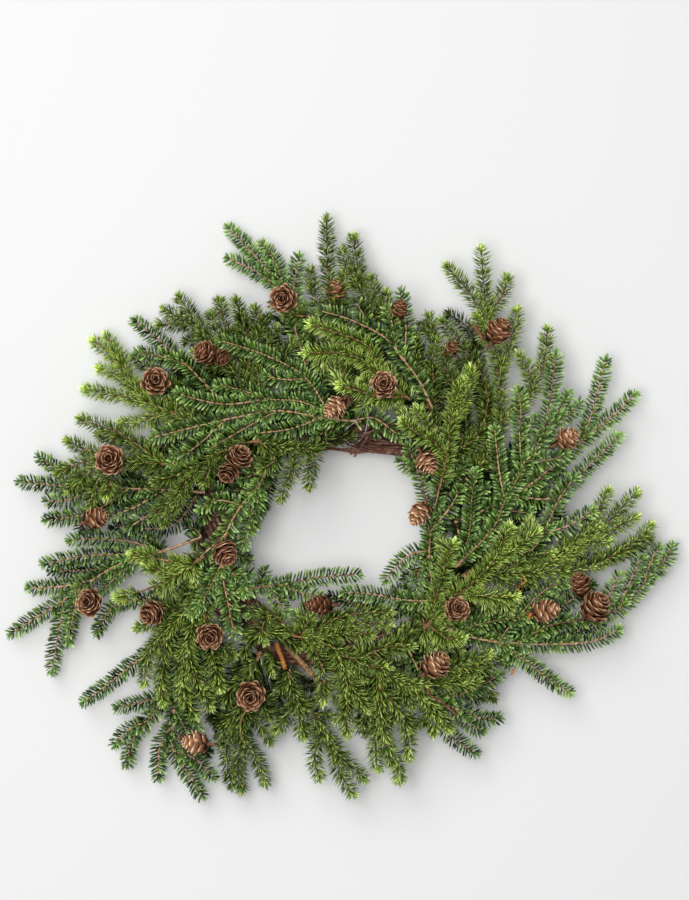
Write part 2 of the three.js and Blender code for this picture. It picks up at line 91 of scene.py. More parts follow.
# Each bough: its kind, the rise of its tips over the dome, how fresh and how bright it is (0 to 1),
# and its lines in plan. The first line is the main stem and the others are side shoots, each from
# the nearest point of a line before it.
BOUGHS = [
    ("fir", -4, 0.8, 0.44, [
        [(-108, 8), (-150, -8), (-190, -20), (-215, -35), (-240, -52), (-265, -68), (-293, -86)],
        [(-213, -34), (-240, -40), (-277, -42)],
        [(-241, -53), (-245, -80), (-250, -105), (-252, -122)],
        [(-226, -44), (-233, -70), (-238, -96)],
        [(-160, -11), (-215, -12), (-263, -21)],
        [(-150, -8), (-178, 0), (-210, 3), (-240, 1)],
        [(-172, -14), (-194, -32), (-208, -48)],
    ]),
    ("fir", -4, 0.58, 0.62, [
        [(-14, 122), (-25, 170), (-40, 215), (-55, 243), (-95, 288)],
        [(-48, 232), (-70, 246), (-96, 258)],
        [(-42, 220), (-48, 250), (-65, 273)],
        [(-30, 190), (-33, 225), (-28, 262)],
    ]),
    ("fir", -6, 0.5, 0.42, [
        [(68, -92), (95, -140), (120, -152), (140, -160), (157, -158)],
        [(98, -142), (128, -133), (158, -117)],
        [(94, -140), (104, -168), (118, -182), (135, -194)],
        [(112, -150), (127, -166), (141, -172)],
    ]),
    ("fir", 4, 0.5, 0.7, [
        [(112, 18), (165, 42), (205, 72), (235, 98), (262, 120), (278, 137)],
        [(226, 90), (238, 122), (250, 169)],
        [(165, 42), (200, 40), (228, 64), (263, 99)],
    ]),
    ("fir", 0, 0.46, 0.6, [
        [(104, -78), (140, -88), (170, -91), (200, -92), (238, -89), (265, -77)],
        [(170, -91), (195, -76), (225, -70), (262, -60), (285, -35), (305, -15), (311, 0)],
        [(150, -89), (172, -104), (190, -118), (220, -139)],
        [(262, -60), (270, -38), (283, -11)],
        [(284, -36), (290, -18), (299, 0)],
        [(240, -68), (252, -48), (262, -26)],
        [(112, -80), (140, -72), (165, -68), (185, -66)],
        [(150, -89), (175, -60), (195, -42), (215, -34)],
    ]),
    ("fir", -4, 0.6, 0.4, [
        [(-104, -72), (-135, -120), (-160, -155), (-180, -182), (-184, -206)],
        [(-135, -120), (-142, -160), (-142, -188), (-130, -207), (-113, -234)],
        [(-142, -188), (-122, -196), (-103, -217)],
        [(-143, -165), (-154, -185), (-155, -219)],
        [(-165, -162), (-185, -172), (-197, -187)],
        [(-148, -138), (-172, -145), (-197, -151)],
        [(-135, -120), (-128, -148), (-118, -172)],
    ]),
    ("fir", 0, 0.4, 0.36, [
        [(-112, 45), (-170, 48), (-235, 50), (-285, 55)],
        [(-212, 50), (-240, 62), (-267, 79)],
        [(-180, 48), (-215, 27), (-261, 19)],
        [(-150, 47), (-175, 32), (-202, 22)],
        [(-130, 46), (-158, 28), (-186, 10)],
        [(-212, 50), (-236, 38), (-260, 37)],
    ]),
    ("spruce", 0, 0.42, 0.4, [
        [(18, 122), (10, 170), (2, 215), (-2, 245), (-3, 297)],
        [(12, 160), (31, 200), (26, 240), (20, 281)],
        [(28, 225), (15, 248), (10, 269)],
        [(35, 200), (50, 212), (50, 229)],
        [(5, 200), (-20, 203), (-46, 206)],
        [(2, 215), (12, 230), (12, 247)],
        [(34, 205), (41, 222), (34, 243)],
        [(8, 180), (-8, 205), (-14, 225), (-19, 250)],
    ]),
    ("spruce", 12, 0.42, 0.61, [
        [(128, 58), (152, 100), (152, 150), (141, 205), (136, 269)],
        [(145, 190), (125, 225), (101, 253)],
        [(143, 205), (155, 222), (161, 244)],
        [(152, 150), (163, 180), (169, 215)],
        [(146, 178), (136, 192), (131, 209)],
        [(152, 110), (182, 135), (192, 160), (196, 197)],
        [(180, 132), (180, 150), (167, 173)],
    ]),
    ("spruce", -4, 0.48, 0.38, [
        [(-38, -98), (-36, -125), (-28, -145), (-12, -158), (0, -178), (15, -198), (35, -217)],
        [(-31, -142), (-42, -162), (-52, -173)],
        [(-28, -146), (-27, -165), (-22, -180)],
        [(-6, -168), (-14, -192), (-8, -218)],
        [(2, -180), (8, -205), (23, -232)],
        [(-38, -102), (-52, -102), (-50, -122)],
    ]),
    ("spruce", 4, 0.44, 0.55, [
        [(-108, -42), (-140, -72), (-162, -98), (-168, -133)],
        [(-142, -75), (-152, -110), (-150, -149)],
        [(-145, -76), (-160, -73), (-178, -78)],
        [(-112, -48), (-127, -95), (-118, -125), (-104, -154)],
        [(-126, -105), (-131, -135), (-118, -161)],
        [(-124, -85), (-133, -105), (-133, -132)],
        [(-112, -50), (-109, -80), (-103, -110), (-97, -136)],
    ]),
    ("spruce", 10, 0.52, 0.58, [
        [(118, -30), (175, -28), (228, -24), (255, -12), (275, 0), (293, 19)],
        [(180, -28), (215, -6), (245, 14), (280, 49)],
        [(232, 5), (255, 12), (280, 25)],
        [(215, -5), (236, 20), (253, 51)],
        [(196, -16), (228, -3), (257, 3)],
        [(205, -24), (218, -5), (246, 19)],
        [(150, -29), (178, -14), (204, -8)],
    ]),
    ("spruce", -4, 0.41, 0.52, [
        [(38, -96), (44, -130), (46, -155), (50, -180), (57, -204)],
        [(44, -130), (62, -150), (70, -172), (71, -199)],
        [(50, -180), (60, -198), (63, -220)],
        [(46, -155), (41, -185), (44, -209)],
        [(42, -115), (75, -130), (95, -150), (110, -173)],
        [(80, -133), (92, -155), (93, -177)],
        [(55, -122), (90, -128), (120, -117), (149, -98)],
        [(100, -126), (118, -128), (137, -122)],
        [(82, -128), (112, -112), (147, -97)],
    ]),
    ("fir", -4, 0.65, 0.52, [
        [(-84, 112), (-115, 145), (-140, 170), (-181, 203)],
        [(-130, 160), (-155, 168), (-179, 172)],
    ]),
    ("fir", -4, 0.7, 0.38, [
        [(-118, -50), (-150, -88), (-175, -108), (-200, -128), (-227, -148)],
        [(-128, -62), (-165, -52), (-195, -58), (-213, -86)],
    ]),
    ("spruce", 0, 0.37, 0.51, [
        [(-112, 66), (-165, 72), (-205, 78), (-241, 93)],
        [(-150, 71), (-185, 95), (-230, 113)],
        [(-195, 76), (-210, 52), (-217, 26)],
        [(-205, 78), (-228, 70), (-251, 60)],
        [(-200, 77), (-222, 60), (-240, 42)],
        [(-185, 75), (-196, 58), (-203, 36)],
    ]),
    ("spruce", -2, 0.5, 0.75, [
        [(-98, 92), (-140, 115), (-175, 128), (-227, 139)],
        [(-160, 123), (-190, 150), (-214, 158)],
        [(-150, 118), (-172, 108), (-195, 108)],
        [(-165, 125), (-180, 145), (-190, 168), (-206, 191)],
        [(-186, 156), (-200, 172), (-219, 184)],
    ]),
    ("spruce", 0, 0.47, 0.37, [
        [(-62, 125), (-90, 158), (-120, 192), (-154, 212)],
        [(-112, 184), (-125, 205), (-140, 226)],
        [(-88, 156), (-95, 195), (-101, 223)],
        [(-125, 195), (-142, 196), (-160, 196)],
        [(-88, 156), (-108, 168), (-127, 172)],
        [(-75, 140), (-75, 185), (-87, 223)],
        [(-76, 165), (-64, 190), (-69, 216)],
        [(-66, 132), (-58, 170), (-46, 197)],
        [(-64, 128), (-46, 160), (-30, 186)],
        [(-95, 165), (-105, 195), (-108, 211)],
    ]),
    ("spruce", 4, 0.56, 0.42, [
        [(100, 72), (135, 100), (140, 140), (120, 175), (97, 203)],
        [(112, 85), (92, 110), (92, 145), (96, 188)],
        [(92, 130), (80, 150), (75, 191)],
        [(92, 145), (78, 150), (68, 158)],
        [(95, 180), (92, 195), (87, 209)],
        [(122, 92), (118, 130), (106, 150), (104, 178)],
    ]),
    ("fir", 4, 0.45, 0.61, [
        [(112, -22), (147, 15), (156, 36), (172, 65), (185, 85), (200, 108), (216, 138)],
        [(157, 38), (152, 60), (149, 85), (147, 107)],
        [(172, 66), (170, 95), (171, 125), (168, 142)],
        [(186, 86), (196, 120), (204, 174)],
        [(200, 108), (215, 115), (228, 129)],
        [(178, 72), (200, 75), (216, 81)],
        [(135, 2), (178, -8), (194, 15), (206, 40), (222, 62)],
        [(190, 8), (215, 16), (240, 32)],
    ]),
    ("spruce", -6, 0.57, 0.29, [
        [(-62, -98), (-78, -140), (-80, -175), (-82, -205), (-80, -230)],
        [(-79, -150), (-62, -165), (-52, -185)],
        [(-80, -176), (-66, -195), (-57, -223)],
        [(-68, -115), (-88, -130), (-97, -152)],
        [(-79, -160), (-93, -182), (-88, -226)],
        [(-78, -148), (-95, -166), (-100, -188)],
        [(-75, -132), (-61, -146), (-52, -163)],
        [(-64, -104), (-73, -110), (-73, -124)],
    ]),
    ("fir", 6, 0.38, 0.58, [
        [(96, -58), (90, -25), (90, 5), (97, 45), (103, 75), (106, 94)],
        [(90, 0), (83, 50), (68, 92)],
        [(92, -20), (120, -5), (126, 20), (127, 40), (132, 69)],
        [(95, 10), (110, 35), (118, 53)],
        [(88, -8), (70, -12), (47, -38)],
        [(90, -12), (80, -26), (78, -44)],
        [(94, -55), (70, -52), (40, -47), (8, -44)],
    ]),
    ("fir", 4, 0.43, 0.55, [
        [(28, 108), (-8, 112), (-44, 118), (-80, 113), (-120, 104), (-163, 93)],
        [(-48, 117), (-75, 103), (-111, 82)],
        [(-92, 110), (-115, 90), (-146, 67)],
        [(-8, 112), (-35, 102), (-73, 97)],
        [(10, 112), (-25, 126), (-57, 129), (-80, 137), (-106, 142)],
        [(-57, 129), (-92, 124), (-125, 130), (-141, 136)],
        [(0, 118), (-22, 148), (-58, 168), (-104, 183)],
        [(-20, 147), (-40, 146), (-63, 151)],
        [(22, 108), (38, 112), (50, 105), (66, 92)],
    ]),
    ("fir", 0, 0.37, 0.61, [
        [(-48, 82), (-62, 54), (-78, 35), (-90, 15), (-98, -15), (-93, -45), (-88, -70), (-84, -87)],
        [(-62, 54), (-72, 22), (-78, -8)],
        [(-64, 50), (-66, 30), (-71, 6)],
        [(-80, 33), (-100, 38), (-121, 28)],
        [(-97, -20), (-79, -35), (-76, -50)],
        [(-98, -20), (-112, -48), (-127, -67)],
        [(-93, -45), (-70, -41), (-40, -37), (-5, -31), (30, -29)],
        [(-55, -39), (-45, -55), (-36, -67)],
        [(-45, -38), (-25, -45), (-4, -50)],
        [(-92, 8), (-122, -18), (-142, -34)],
    ]),
    ("spruce", 12, 0.56, 0.81, [
        [(72, 128), (45, 150), (20, 168), (-28, 170)],
        [(45, 150), (35, 175), (0, 190), (-23, 198)],
        [(70, 129), (45, 131), (25, 136), (4, 142)],
    ]),
    ("spruce", 16, 0.43, 0.71, [
        [(98, 48), (105, 80), (110, 120), (122, 151)],
        [(108, 108), (123, 135), (126, 161)],
        [(104, 78), (90, 95), (76, 125)],
        [(94, 90), (78, 98), (61, 112)],
    ]),
    ("spruce", 14, 0.55, 0.77, [
        [(84, -78), (100, -58), (118, -44), (143, -20), (163, 20)],
        [(88, -70), (100, -30), (112, 5)],
        [(143, -20), (165, -5), (190, 14)],
        [(118, -44), (145, -48), (172, -48)],
        [(88, -76), (105, -85), (124, -84)],
    ]),
    ("spruce", 6, 0.38, 0.54, [
        [(-35, -82), (0, -92), (20, -104), (38, -110), (58, -112)],
        [(-22, -86), (5, -82), (25, -80), (42, -84)],
        [(0, -84), (25, -72), (58, -74)],
        [(-35, -82), (-52, -64), (-60, -74), (-58, -92)],
        [(-18, -88), (-6, -115), (-6, -147)],
        [(5, -95), (15, -125), (15, -150), (15, -177)],
        [(12, -110), (22, -132), (36, -153)],
        [(22, -102), (55, -92), (78, -92)],
        [(-20, -87), (0, -70), (25, -63), (58, -62)],
        [(-25, -85), (-20, -72), (-14, -60)],
    ]),
    ("spruce", 6, 0.24, 0.42, [
        [(-62, 92), (-90, 85), (-120, 65), (-132, 48), (-141, 26)],
        [(-112, 70), (-140, 60), (-162, 54)],
        [(-102, 78), (-108, 62), (-115, 48)],
        [(-130, 50), (-142, 32), (-151, 13)],
        [(-62, 92), (-30, 78), (-38, 55), (-46, 34)],
        [(-54, 82), (-15, 80), (-18, 62), (-19, 45)],
        [(-120, 65), (-142, 38), (-163, 18)],
        [(-62, 92), (-48, 76), (-66, 63)],
    ]),
    ("fir", 10, 0.3, 0.5, [
        [(92, 120), (80, 145), (65, 165), (50, 183), (20, 199), (-13, 209)],
        [(66, 163), (68, 195), (63, 229)],
        [(60, 172), (56, 194), (50, 214)],
    ]),
    ("spruce", 2, 0.2, 0.85, [
        [(-112, -12), (-140, -30), (-165, -42), (-196, -50)],
        [(-125, -20), (-150, -15), (-182, -9)],
        [(-140, -30), (-152, -25), (-170, -18)],
    ]),
]

# Where each cone is, its diameter and length, the way its tip heads in plan, its lean, and how pale
# it is. A twin grows on the same stalk.
CONES = [
    dict(at=(-42, 219), diameter=27, length=24, heading=200, lean=10, pale=0.35),
    dict(at=(-112, 170), diameter=24, length=25, heading=150, lean=55, pale=0.3,
         twin=dict(at=(-97, 166), heading=330, diameter=17, length=20, pale=0.1)),
    dict(at=(-157, 145), diameter=27, length=24, heading=60, lean=10, pale=0.35),
    dict(at=(-197, 74), diameter=30, length=26, heading=120, lean=12, pale=0.3),
    dict(at=(-209, 22), diameter=24, length=26, heading=20, lean=80, pale=0.55),
    dict(at=(-216, -54), diameter=27, length=24, heading=150, lean=20, pale=0.35),
    dict(at=(-93, -9), diameter=26, length=28, heading=300, lean=50, pale=0.45),
    dict(at=(-160, -63), diameter=24, length=26, heading=215, lean=45, pale=0.4),
    dict(at=(-107, -83), diameter=26, length=24, heading=270, lean=15, pale=0.35),
    dict(at=(-71, -137), diameter=28, length=24, heading=250, lean=8, pale=0.35),
    dict(at=(-122, -180), diameter=24, length=28, heading=175, lean=90, pale=0.85),
    dict(at=(-80, 77), diameter=25, length=26, heading=60, lean=40, pale=0.35,
         twin=dict(at=(-91, 62), heading=250, diameter=20, length=23, pale=0.2)),
    dict(at=(4, 120), diameter=22, length=28, heading=225, lean=75, pale=0.85),
    dict(at=(48, 141), diameter=26, length=24, heading=90, lean=12, pale=0.4),
    dict(at=(151, 190), diameter=27, length=29, heading=60, lean=65, pale=0.45),
    dict(at=(87, 71), diameter=23, length=26, heading=300, lean=70, pale=0.75),
    dict(at=(79, 25), diameter=23, length=27, heading=240, lean=80, pale=0.85),
    dict(at=(213, 94), diameter=23, length=27, heading=30, lean=80, pale=0.7),
    dict(at=(113, -59), diameter=25, length=24, heading=60, lean=15, pale=0.35),
    dict(at=(95, -108), diameter=28, length=32, heading=40, lean=70, pale=0.6),
    dict(at=(238, -57), diameter=31, length=33, heading=48, lean=58, pale=0.45,
         twin=dict(at=(225, -37), heading=110, lean=75, diameter=23, length=27, pale=0.2)),
    dict(at=(194, -61), diameter=26, length=31, heading=10, lean=80, pale=0.7),
    dict(at=(-11, -55), diameter=22, length=30, heading=180, lean=85, pale=0.0),
]

# Small cones that show only between the needles.
HALF_HIDDEN_CONES = [
    dict(at=(5, 227), diameter=23, length=27, heading=95, lean=80, pale=0.35),
    dict(at=(62, 209), diameter=20, length=24, heading=70, lean=70, pale=0.2),
    dict(at=(109, 174), diameter=18, length=22, heading=60, lean=70, pale=0.2),
]

# Bits lying on the boughs, as a line in plan with its widths: curled scraps of split vine, a bud's
# bract, and bare twigs.
SCRAPS = [
    ("split_scrap_1", "splinter", [(168, -42), (171, -38), (175, -35), (174, -31), (172, -28)],
     (2.2, 1.8, 1.0)),
    ("split_scrap_2", "splinter", [(177, -70), (179, -66), (184, -62)], (1.2, 2.8, 2.2)),
    ("split_scrap_3", "splinter", [(163, -120), (166, -114)], (1.2, 2.4, 1.6)),
    ("cone_bract", "stalk", [(-128, -186), (-131, -179), (-135, -174), (-138, -179)], (2.6, 2.4, 2.0)),
    ("bud_bract", "stalk", [(128, 196), (132, 191), (138, 181)], (1.4, 5.0, 1.6)),
    ("bare_twig_1", "twig", [(-74, -148), (-79, -158), (-81, -169), (-76, -183)], (2.0, 1.8, 1.4)),
    ("bare_twig_2", "stalk", [(86, -126), (89, -136), (100, -143), (113, -155)], (2.4, 2.0, 1.8)),
]

# ------------------------------------------------------------------ paths


def smooth_line(points, spacing):
    """A centripetal Catmull-Rom curve through the points, as places about `spacing` apart."""
    p = np.array(points, float)
    p = np.vstack([2 * p[0] - p[1], p, 2 * p[-1] - p[-2]])
    t = np.linspace(0, 1, 13)[1:, None]
    runs = [p[1:2]]
    for a, b, c, d in zip(p, p[1:], p[2:], p[3:]):
        ab, bc, cd = (np.linalg.norm(gap) ** 0.5 for gap in (b - a, c - b, d - c))
        leaving = (c - b) + bc * ((b - a) / ab - (c - a) / (ab + bc))
        arriving = (c - b) + bc * ((d - c) / cd - (d - b) / (bc + cd))
        runs.append(
            (2 * t**3 - 3 * t**2 + 1) * b
            + (t**3 - 2 * t**2 + t) * leaving
            + (3 * t**2 - 2 * t**3) * c
            + (t**3 - t**2) * arriving
        )
    return resample(np.vstack(runs), spacing)


def run_of(path):
    """How far along the path each place is."""
    return np.concatenate([[0], np.linalg.norm(np.diff(path, axis=0), axis=1).cumsum()])


def resample(path, spacing):
    run = run_of(path)
    even = np.linspace(0, run[-1], max(3, round(run[-1] / spacing) + 1))
    return np.column_stack([np.interp(even, run, axis) for axis in path.T])


def unit(vectors):
    return vectors / np.maximum(np.linalg.norm(vectors, axis=-1, keepdims=True), 1e-9)


def frames_along(path):
    """At each place of a path: the way along it, level across it, and over it."""
    along = unit(np.gradient(path, axis=0))
    across = np.cross(along, (0, 0, 1))
    across[np.linalg.norm(across, axis=1) < 0.05] = (1, 0, 0)
    across = unit(across)
    return along, across, np.cross(across, along)


def at_run(path, run, where):
    """Places and frames at the given distances along a path."""
    columns = [path, *frames_along(path)]
    return [np.column_stack([np.interp(where, run, axis) for axis in c.T]) for c in columns]


# ------------------------------------------------------------------ small shapes


class Shape:
    """A bmesh taken down to arrays, so that it can be copied thousands of times."""

    def __init__(self, bm):
        bmesh.ops.recalc_face_normals(bm, faces=bm.faces[:])
        bm.verts.index_update()
        grain = bm.verts.layers.float_vector.get("grain")
        self.co = np.array([v.co for v in bm.verts])
        self.grain = np.array([v[grain] for v in bm.verts]) if grain else self.co.copy()
        self.loops = np.array([v.index for f in bm.faces for v in f.verts])
        self.sizes = np.array([len(f.verts) for f in bm.faces])
        bm.free()


def bar(path, radii, sides, flat=1.0, ripple=0.0):
    """A closed bar along a path in millimetres: one circle, extruded from place to place. Its grain
    layer holds each vertex's place round and along the bar, for bark that follows it."""
    along, across, over = frames_along(path)
    run = run_of(path)
    bm = bmesh.new()
    grain = bm.verts.layers.float_vector.new("grain")
    verts = bmesh.ops.create_circle(bm, cap_ends=True, segments=sides, radius=1.0)["verts"]
    face = verts[0].link_faces[0]
    before = Matrix()
    rings = []
    for i, (place, radius) in enumerate(zip(path, radii)):
        if i:
            grown = bmesh.ops.extrude_face_region(bm, geom=[face])["geom"]
            verts = [g for g in grown if isinstance(g, bmesh.types.BMVert)]
            face = next(g for g in grown if isinstance(g, bmesh.types.BMFace))
        columns = [across[i] * radius, over[i] * radius * flat, along[i], place]
        here = Matrix([(*row,) for row in np.column_stack(columns)] + [(0, 0, 0, 1)])
        bmesh.ops.transform(bm, matrix=here @ before.inverted(), verts=verts)
        before = here
        undo = here.inverted()
        for v in verts:
            round_ = undo @ v.co
            v[grain] = (round_.x * radius, round_.y * radius, run[i])
        rings.append((verts, place))
    for verts, place in rings if ripple else []:
        for v in verts:
            x, y, z = v[grain]
            v.co += (v.co - Vector(place)) * ripple * noise.noise(Vector((x, y, z * 0.09)))
    return bm


def knot_shape():
    """A small lump, one across, for the bud scales where a side shoot starts."""
    bm = bmesh.new()
    bmesh.ops.create_icosphere(bm, subdivisions=1, radius=0.5)
    return bm


def needle(stations, radii, thickness, bend):
    """A three-edged needle along +Y that bends towards +Z and comes to a point at both ends: one
    long, and two across in X, with its thickness in lengths. Below nought turns a flat side up."""
    along = np.array(stations)
    path = np.column_stack([np.zeros(len(along)), along, bend * along**2])
    bm = bar(path, radii, sides=3, flat=thickness)
    in_order = sorted(bm.verts, key=lambda v: v.co.y)
    for end, place in ((in_order[:3], path[0]), (in_order[-3:], path[-1])):
        bmesh.ops.pointmerge(bm, verts=end, merge_co=Vector(place))
    return Shape(bm)


class Piece:
    """Gathers shapes and copies of shapes, in millimetres, and makes them one object."""

    def __init__(self):
        self.co, self.grain, self.fresh, self.tone = [], [], [], []
        self.loops, self.sizes, self.slots, self.smooth = [], [], [], []
        self.count = 0

    def add(self, shape, slot=0, places=None, turns=None, fresh=0.0, tone=0.5, smooth=True):
        """One copy at each place, turned and sized by its 3 by 3 matrix."""
        if places is None:
            places, turns = np.zeros((1, 3)), np.eye(3)[None]
        copies, corners = len(places), len(shape.co)
        co = np.einsum("nij,vj->nvi", turns, shape.co) + places[:, None]
        self.co.append(co.reshape(-1, 3))
        self.grain.append(np.tile(shape.grain, (copies, 1)))
        self.fresh.append(np.repeat(np.broadcast_to(fresh, copies), corners))
        self.tone.append(np.repeat(np.broadcast_to(tone, copies), corners))
        offsets = self.count + corners * np.arange(copies)[:, None]
        self.loops.append((shape.loops + offsets).ravel())
        self.sizes.append(np.tile(shape.sizes, copies))
        self.slots.append(np.full(copies * len(shape.sizes), slot))
        self.smooth.append(np.full(copies * len(shape.sizes), smooth))
        self.count += corners * copies

    def finish(self, name, nodes, slot, materials):
        """Makes the object, which rides on the wreath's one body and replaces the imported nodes."""
        co, loops, sizes = (np.concatenate(part) for part in (self.co, self.loops, self.sizes))
        mesh = bpy.data.meshes.new(name)
        mesh.vertices.add(len(co))
        mesh.vertices.foreach_set("co", (co * MM).ravel())
        mesh.loops.add(len(loops))
        mesh.loops.foreach_set("vertex_index", loops)
        mesh.polygons.add(len(sizes))
        mesh.polygons.foreach_set("loop_start", np.concatenate([[0], sizes.cumsum()[:-1]]))
        mesh.polygons.foreach_set("material_index", np.concatenate(self.slots))
        mesh.polygons.foreach_set("use_smooth", np.concatenate(self.smooth))
        mesh.update(calc_edges=True)
        grain = mesh.attributes.new("grain", "FLOAT_VECTOR", "POINT")
        grain.data.foreach_set("vector", np.concatenate(self.grain).ravel())
        for mark, values in (("fresh", self.fresh), ("tone", self.tone)):
            layer = mesh.attributes.new(mark, "FLOAT", "POINT")
            layer.data.foreach_set("value", np.concatenate(values))
        for material in materials:
            mesh.materials.append(material)
        piece = bpy.data.objects.new(name, mesh)
        bpy.context.scene.collection.objects.link(piece)
        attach(piece, "root")
        if nodes:
            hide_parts(*nodes)


# ------------------------------------------------------------------ materials


class Finish:
    """A material, while its colour and bump are joined up from nodes."""

    def __init__(self, name, roughness, specular=0.5):
        self.material = bpy.data.materials.new(name)
        self.material.use_nodes = True
        self.tree = self.material.node_tree
        self.sockets = self.tree.nodes["Principled BSDF"].inputs
        self.sockets["Roughness"].default_value = roughness
        self.sockets["Specular IOR Level"].default_value = specular

    def feed(self, socket, value):
        """Sets a socket to a number or a colour, or joins another node's output to it."""
        if isinstance(value, (int, float, tuple)):
            socket.default_value = value
        else:
            self.tree.links.new(value, socket)

    def node(self, kind, fed=(), **settings):
        """The outputs of a new node, its sockets fed from (socket, value) pairs."""
        node = self.tree.nodes.new(kind)
        for key, value in settings.items():
            setattr(node, key, value)
        for socket, value in fed:
            self.feed(node.inputs[socket], value)
        return node.outputs

    def mark(self, name, output="Fac"):
        """What the piece's own attribute of that name says."""
        return self.node("ShaderNodeAttribute", attribute_name=name)[output]

    def ramp(self, share, stops):
        """A colour ramp from (position, (r, g, b)) stops."""
        node = self.tree.nodes.new("ShaderNodeValToRGB")
        band = node.color_ramp
        while len(band.elements) < len(stops):
            band.elements.new(1.0)
        for element, (position, colour) in zip(band.elements, stops):
            element.position = position
            element.color = (*colour, 1)
        self.feed(node.inputs["Fac"], share)
        return node.outputs["Color"]

    def mix(self, share, a, b, blend="MIX"):
        fed = [(0, share), (6, a), (7, b)]
        return self.node("ShaderNodeMix", fed, data_type="RGBA", blend_type=blend)[2]

    def toned(self, colour, dimmest, brightest):
        """The colour, dimmed or brightened by each needle's, scale's or bar's tone, with painted shade
        and painted light in the needles' tone.
        """
        light = self.ramp(self.mark("tone"), [(0.0, dimmest), (0.5, (1, 1, 1)), (1.0, brightest)])
        return self.mix(1.0, colour, light, "MULTIPLY")

    def mottled(self, colour, share, pattern, dim, bright):
        """The colour, dimmed and brightened in patches."""
        return self.mix(share, colour, self.ramp(pattern, [(0.3, dim), (0.7, bright)]), "MULTIPLY")

    def noise(self, vector, scale, detail=3.0, stretch=(1, 1, 1)):
        """Noise read at a place vector, drawn out along an axis by a small stretch."""
        place = self.node("ShaderNodeMapping", [("Vector", vector), ("Scale", stretch)])["Vector"]
        fed = [("Vector", place), ("Scale", scale), ("Detail", detail)]
        return self.node("ShaderNodeTexNoise", fed)["Fac"]

    def place(self):
        return self.node("ShaderNodeTexCoord")["Object"]

    def colour(self, colour):
        self.feed(self.sockets["Base Color"], colour)

    def bump(self, height, strength, distance):
        fed = [("Height", height), ("Strength", strength), ("Distance", distance)]
        self.feed(self.sockets["Normal"], self.node("ShaderNodeBump", fed)["Normal"])


def needle_material(name, old, new, roughness):
    """Needles: nearly black with painted shade where they join the stem, yellow-green on this year's
    growth, and each one a little different. old and new are (base, middle, tip) colours."""
    finish = Finish(name, roughness, specular=0.38)
    split = finish.node("ShaderNodeSeparateXYZ", [(0, finish.mark("grain", "Vector"))])
    # Along each needle: nearly black at the root, which is painted shade, lighter to the tip.
    stops = (0.08, 0.55, 1.0)
    aged, young = (finish.ramp(split["Z"], list(zip(stops, shades))) for shades in (old, new))
    colour = finish.mix(finish.mark("fresh"), aged, young)
    # The tone's dim end dims needles into painted shade, its whitish bright end gives painted
    # highlights.
    colour = finish.toned(colour, (0.10, 0.12, 0.09), (3.1, 2.7, 3.0))
    patches = finish.noise(finish.place(), 60.0)
    finish.colour(finish.mottled(colour, 0.4, patches, (0.55, 0.7, 0.7), (1.4, 1.25, 0.9)))
    finish.bump(finish.noise(finish.place(), 900.0), 0.25, 0.0004)
    return finish.material


def bark_material(name, dark, mid, pale, roughness, fine):
    """Bark whose fibres run along the bar, from the grain that bar() leaves on it."""
    finish = Finish(name, roughness, specular=0.3)
    grain = finish.mark("grain", "Vector")
    fibres = finish.noise(grain, fine, detail=6.0, stretch=(1, 1, 0.12))
    blotches = finish.noise(grain, fine * 0.35)
    height = finish.node("ShaderNodeMath", [(0, fibres), (1, blotches)], operation="ADD")[0]
    share = finish.node("ShaderNodeMath", [(0, height), (1, 0.5)], operation="MULTIPLY")[0]
    colour = finish.ramp(share, [(0.36, dark), (0.5, mid), (0.64, pale)])
    finish.colour(finish.toned(colour, (0.55, 0.5, 0.5), (1.5, 1.5, 1.5)))
    finish.bump(height, 0.6, 0.0008)
    return finish.material


def scale_material():
    """Larch cone scales: nearly black at the foot, partly their own colour and partly painted shade
    between the scales, red-brown on the face, and a dry tan rim.
    """
    finish = Finish("larch_scale", 0.74, specular=0.22)
    streaks = finish.noise(finish.mark("grain", "Vector"), 9.0, detail=4.0, stretch=(1, 0.15, 1))
    # A scale's foot is nearly black: partly its own colour, partly painted shade between the scales.
    face = finish.ramp(finish.mark("fresh"), [
        (0.0, (0.022, 0.008, 0.004)), (0.5, (0.085, 0.031, 0.013)), (0.80, (0.22, 0.090, 0.040)),
        (0.92, (0.42, 0.21, 0.105)), (1.0, (0.86, 0.60, 0.42)),
    ])
    colour = finish.mottled(face, 0.5, streaks, (0.5, 0.45, 0.42), (1.45, 1.4, 1.35))
    finish.colour(finish.toned(colour, (0.6, 0.55, 0.5), (2.2, 2.75, 3.1)))
    finish.bump(streaks, 0.5, 0.0005)
    return finish.material


def wire_material():
    """Dull silvery wire."""
    finish = Finish("florist_wire", 0.5)
    finish.sockets["Metallic"].default_value = 1.0
    dull = finish.noise(finish.mark("grain", "Vector"), 0.8)
    finish.colour(finish.ramp(dull, [(0.3, (0.30, 0.31, 0.32)), (0.7, (0.52, 0.53, 0.54))]))
    return finish.material


FIR = needle_material(
    "fir_needle",
    old=[(0.012, 0.023, 0.003), (0.048, 0.102, 0.013), (0.180, 0.305, 0.098)],
    new=[(0.04, 0.09, 0.015), (0.13, 0.26, 0.048), (0.30, 0.48, 0.18)],
    roughness=0.25,
)
SPRUCE = needle_material(
    "spruce_needle",
    old=[(0.014, 0.024, 0.002), (0.069, 0.127, 0.011), (0.320, 0.425, 0.118)],
    new=[(0.06, 0.10, 0.008), (0.22, 0.37, 0.050), (0.60, 0.76, 0.30)],
    roughness=0.30,
)
FIR_BARK = bark_material(
    "fir_bark", (0.17, 0.08, 0.035), (0.53, 0.32, 0.17), (0.78, 0.56, 0.35), roughness=0.75, fine=1.2
)
SPRUCE_BARK = bark_material(
    "spruce_bark", (0.10, 0.045, 0.018), (0.33, 0.18, 0.08), (0.55, 0.34, 0.17), roughness=0.8, fine=1.2
)
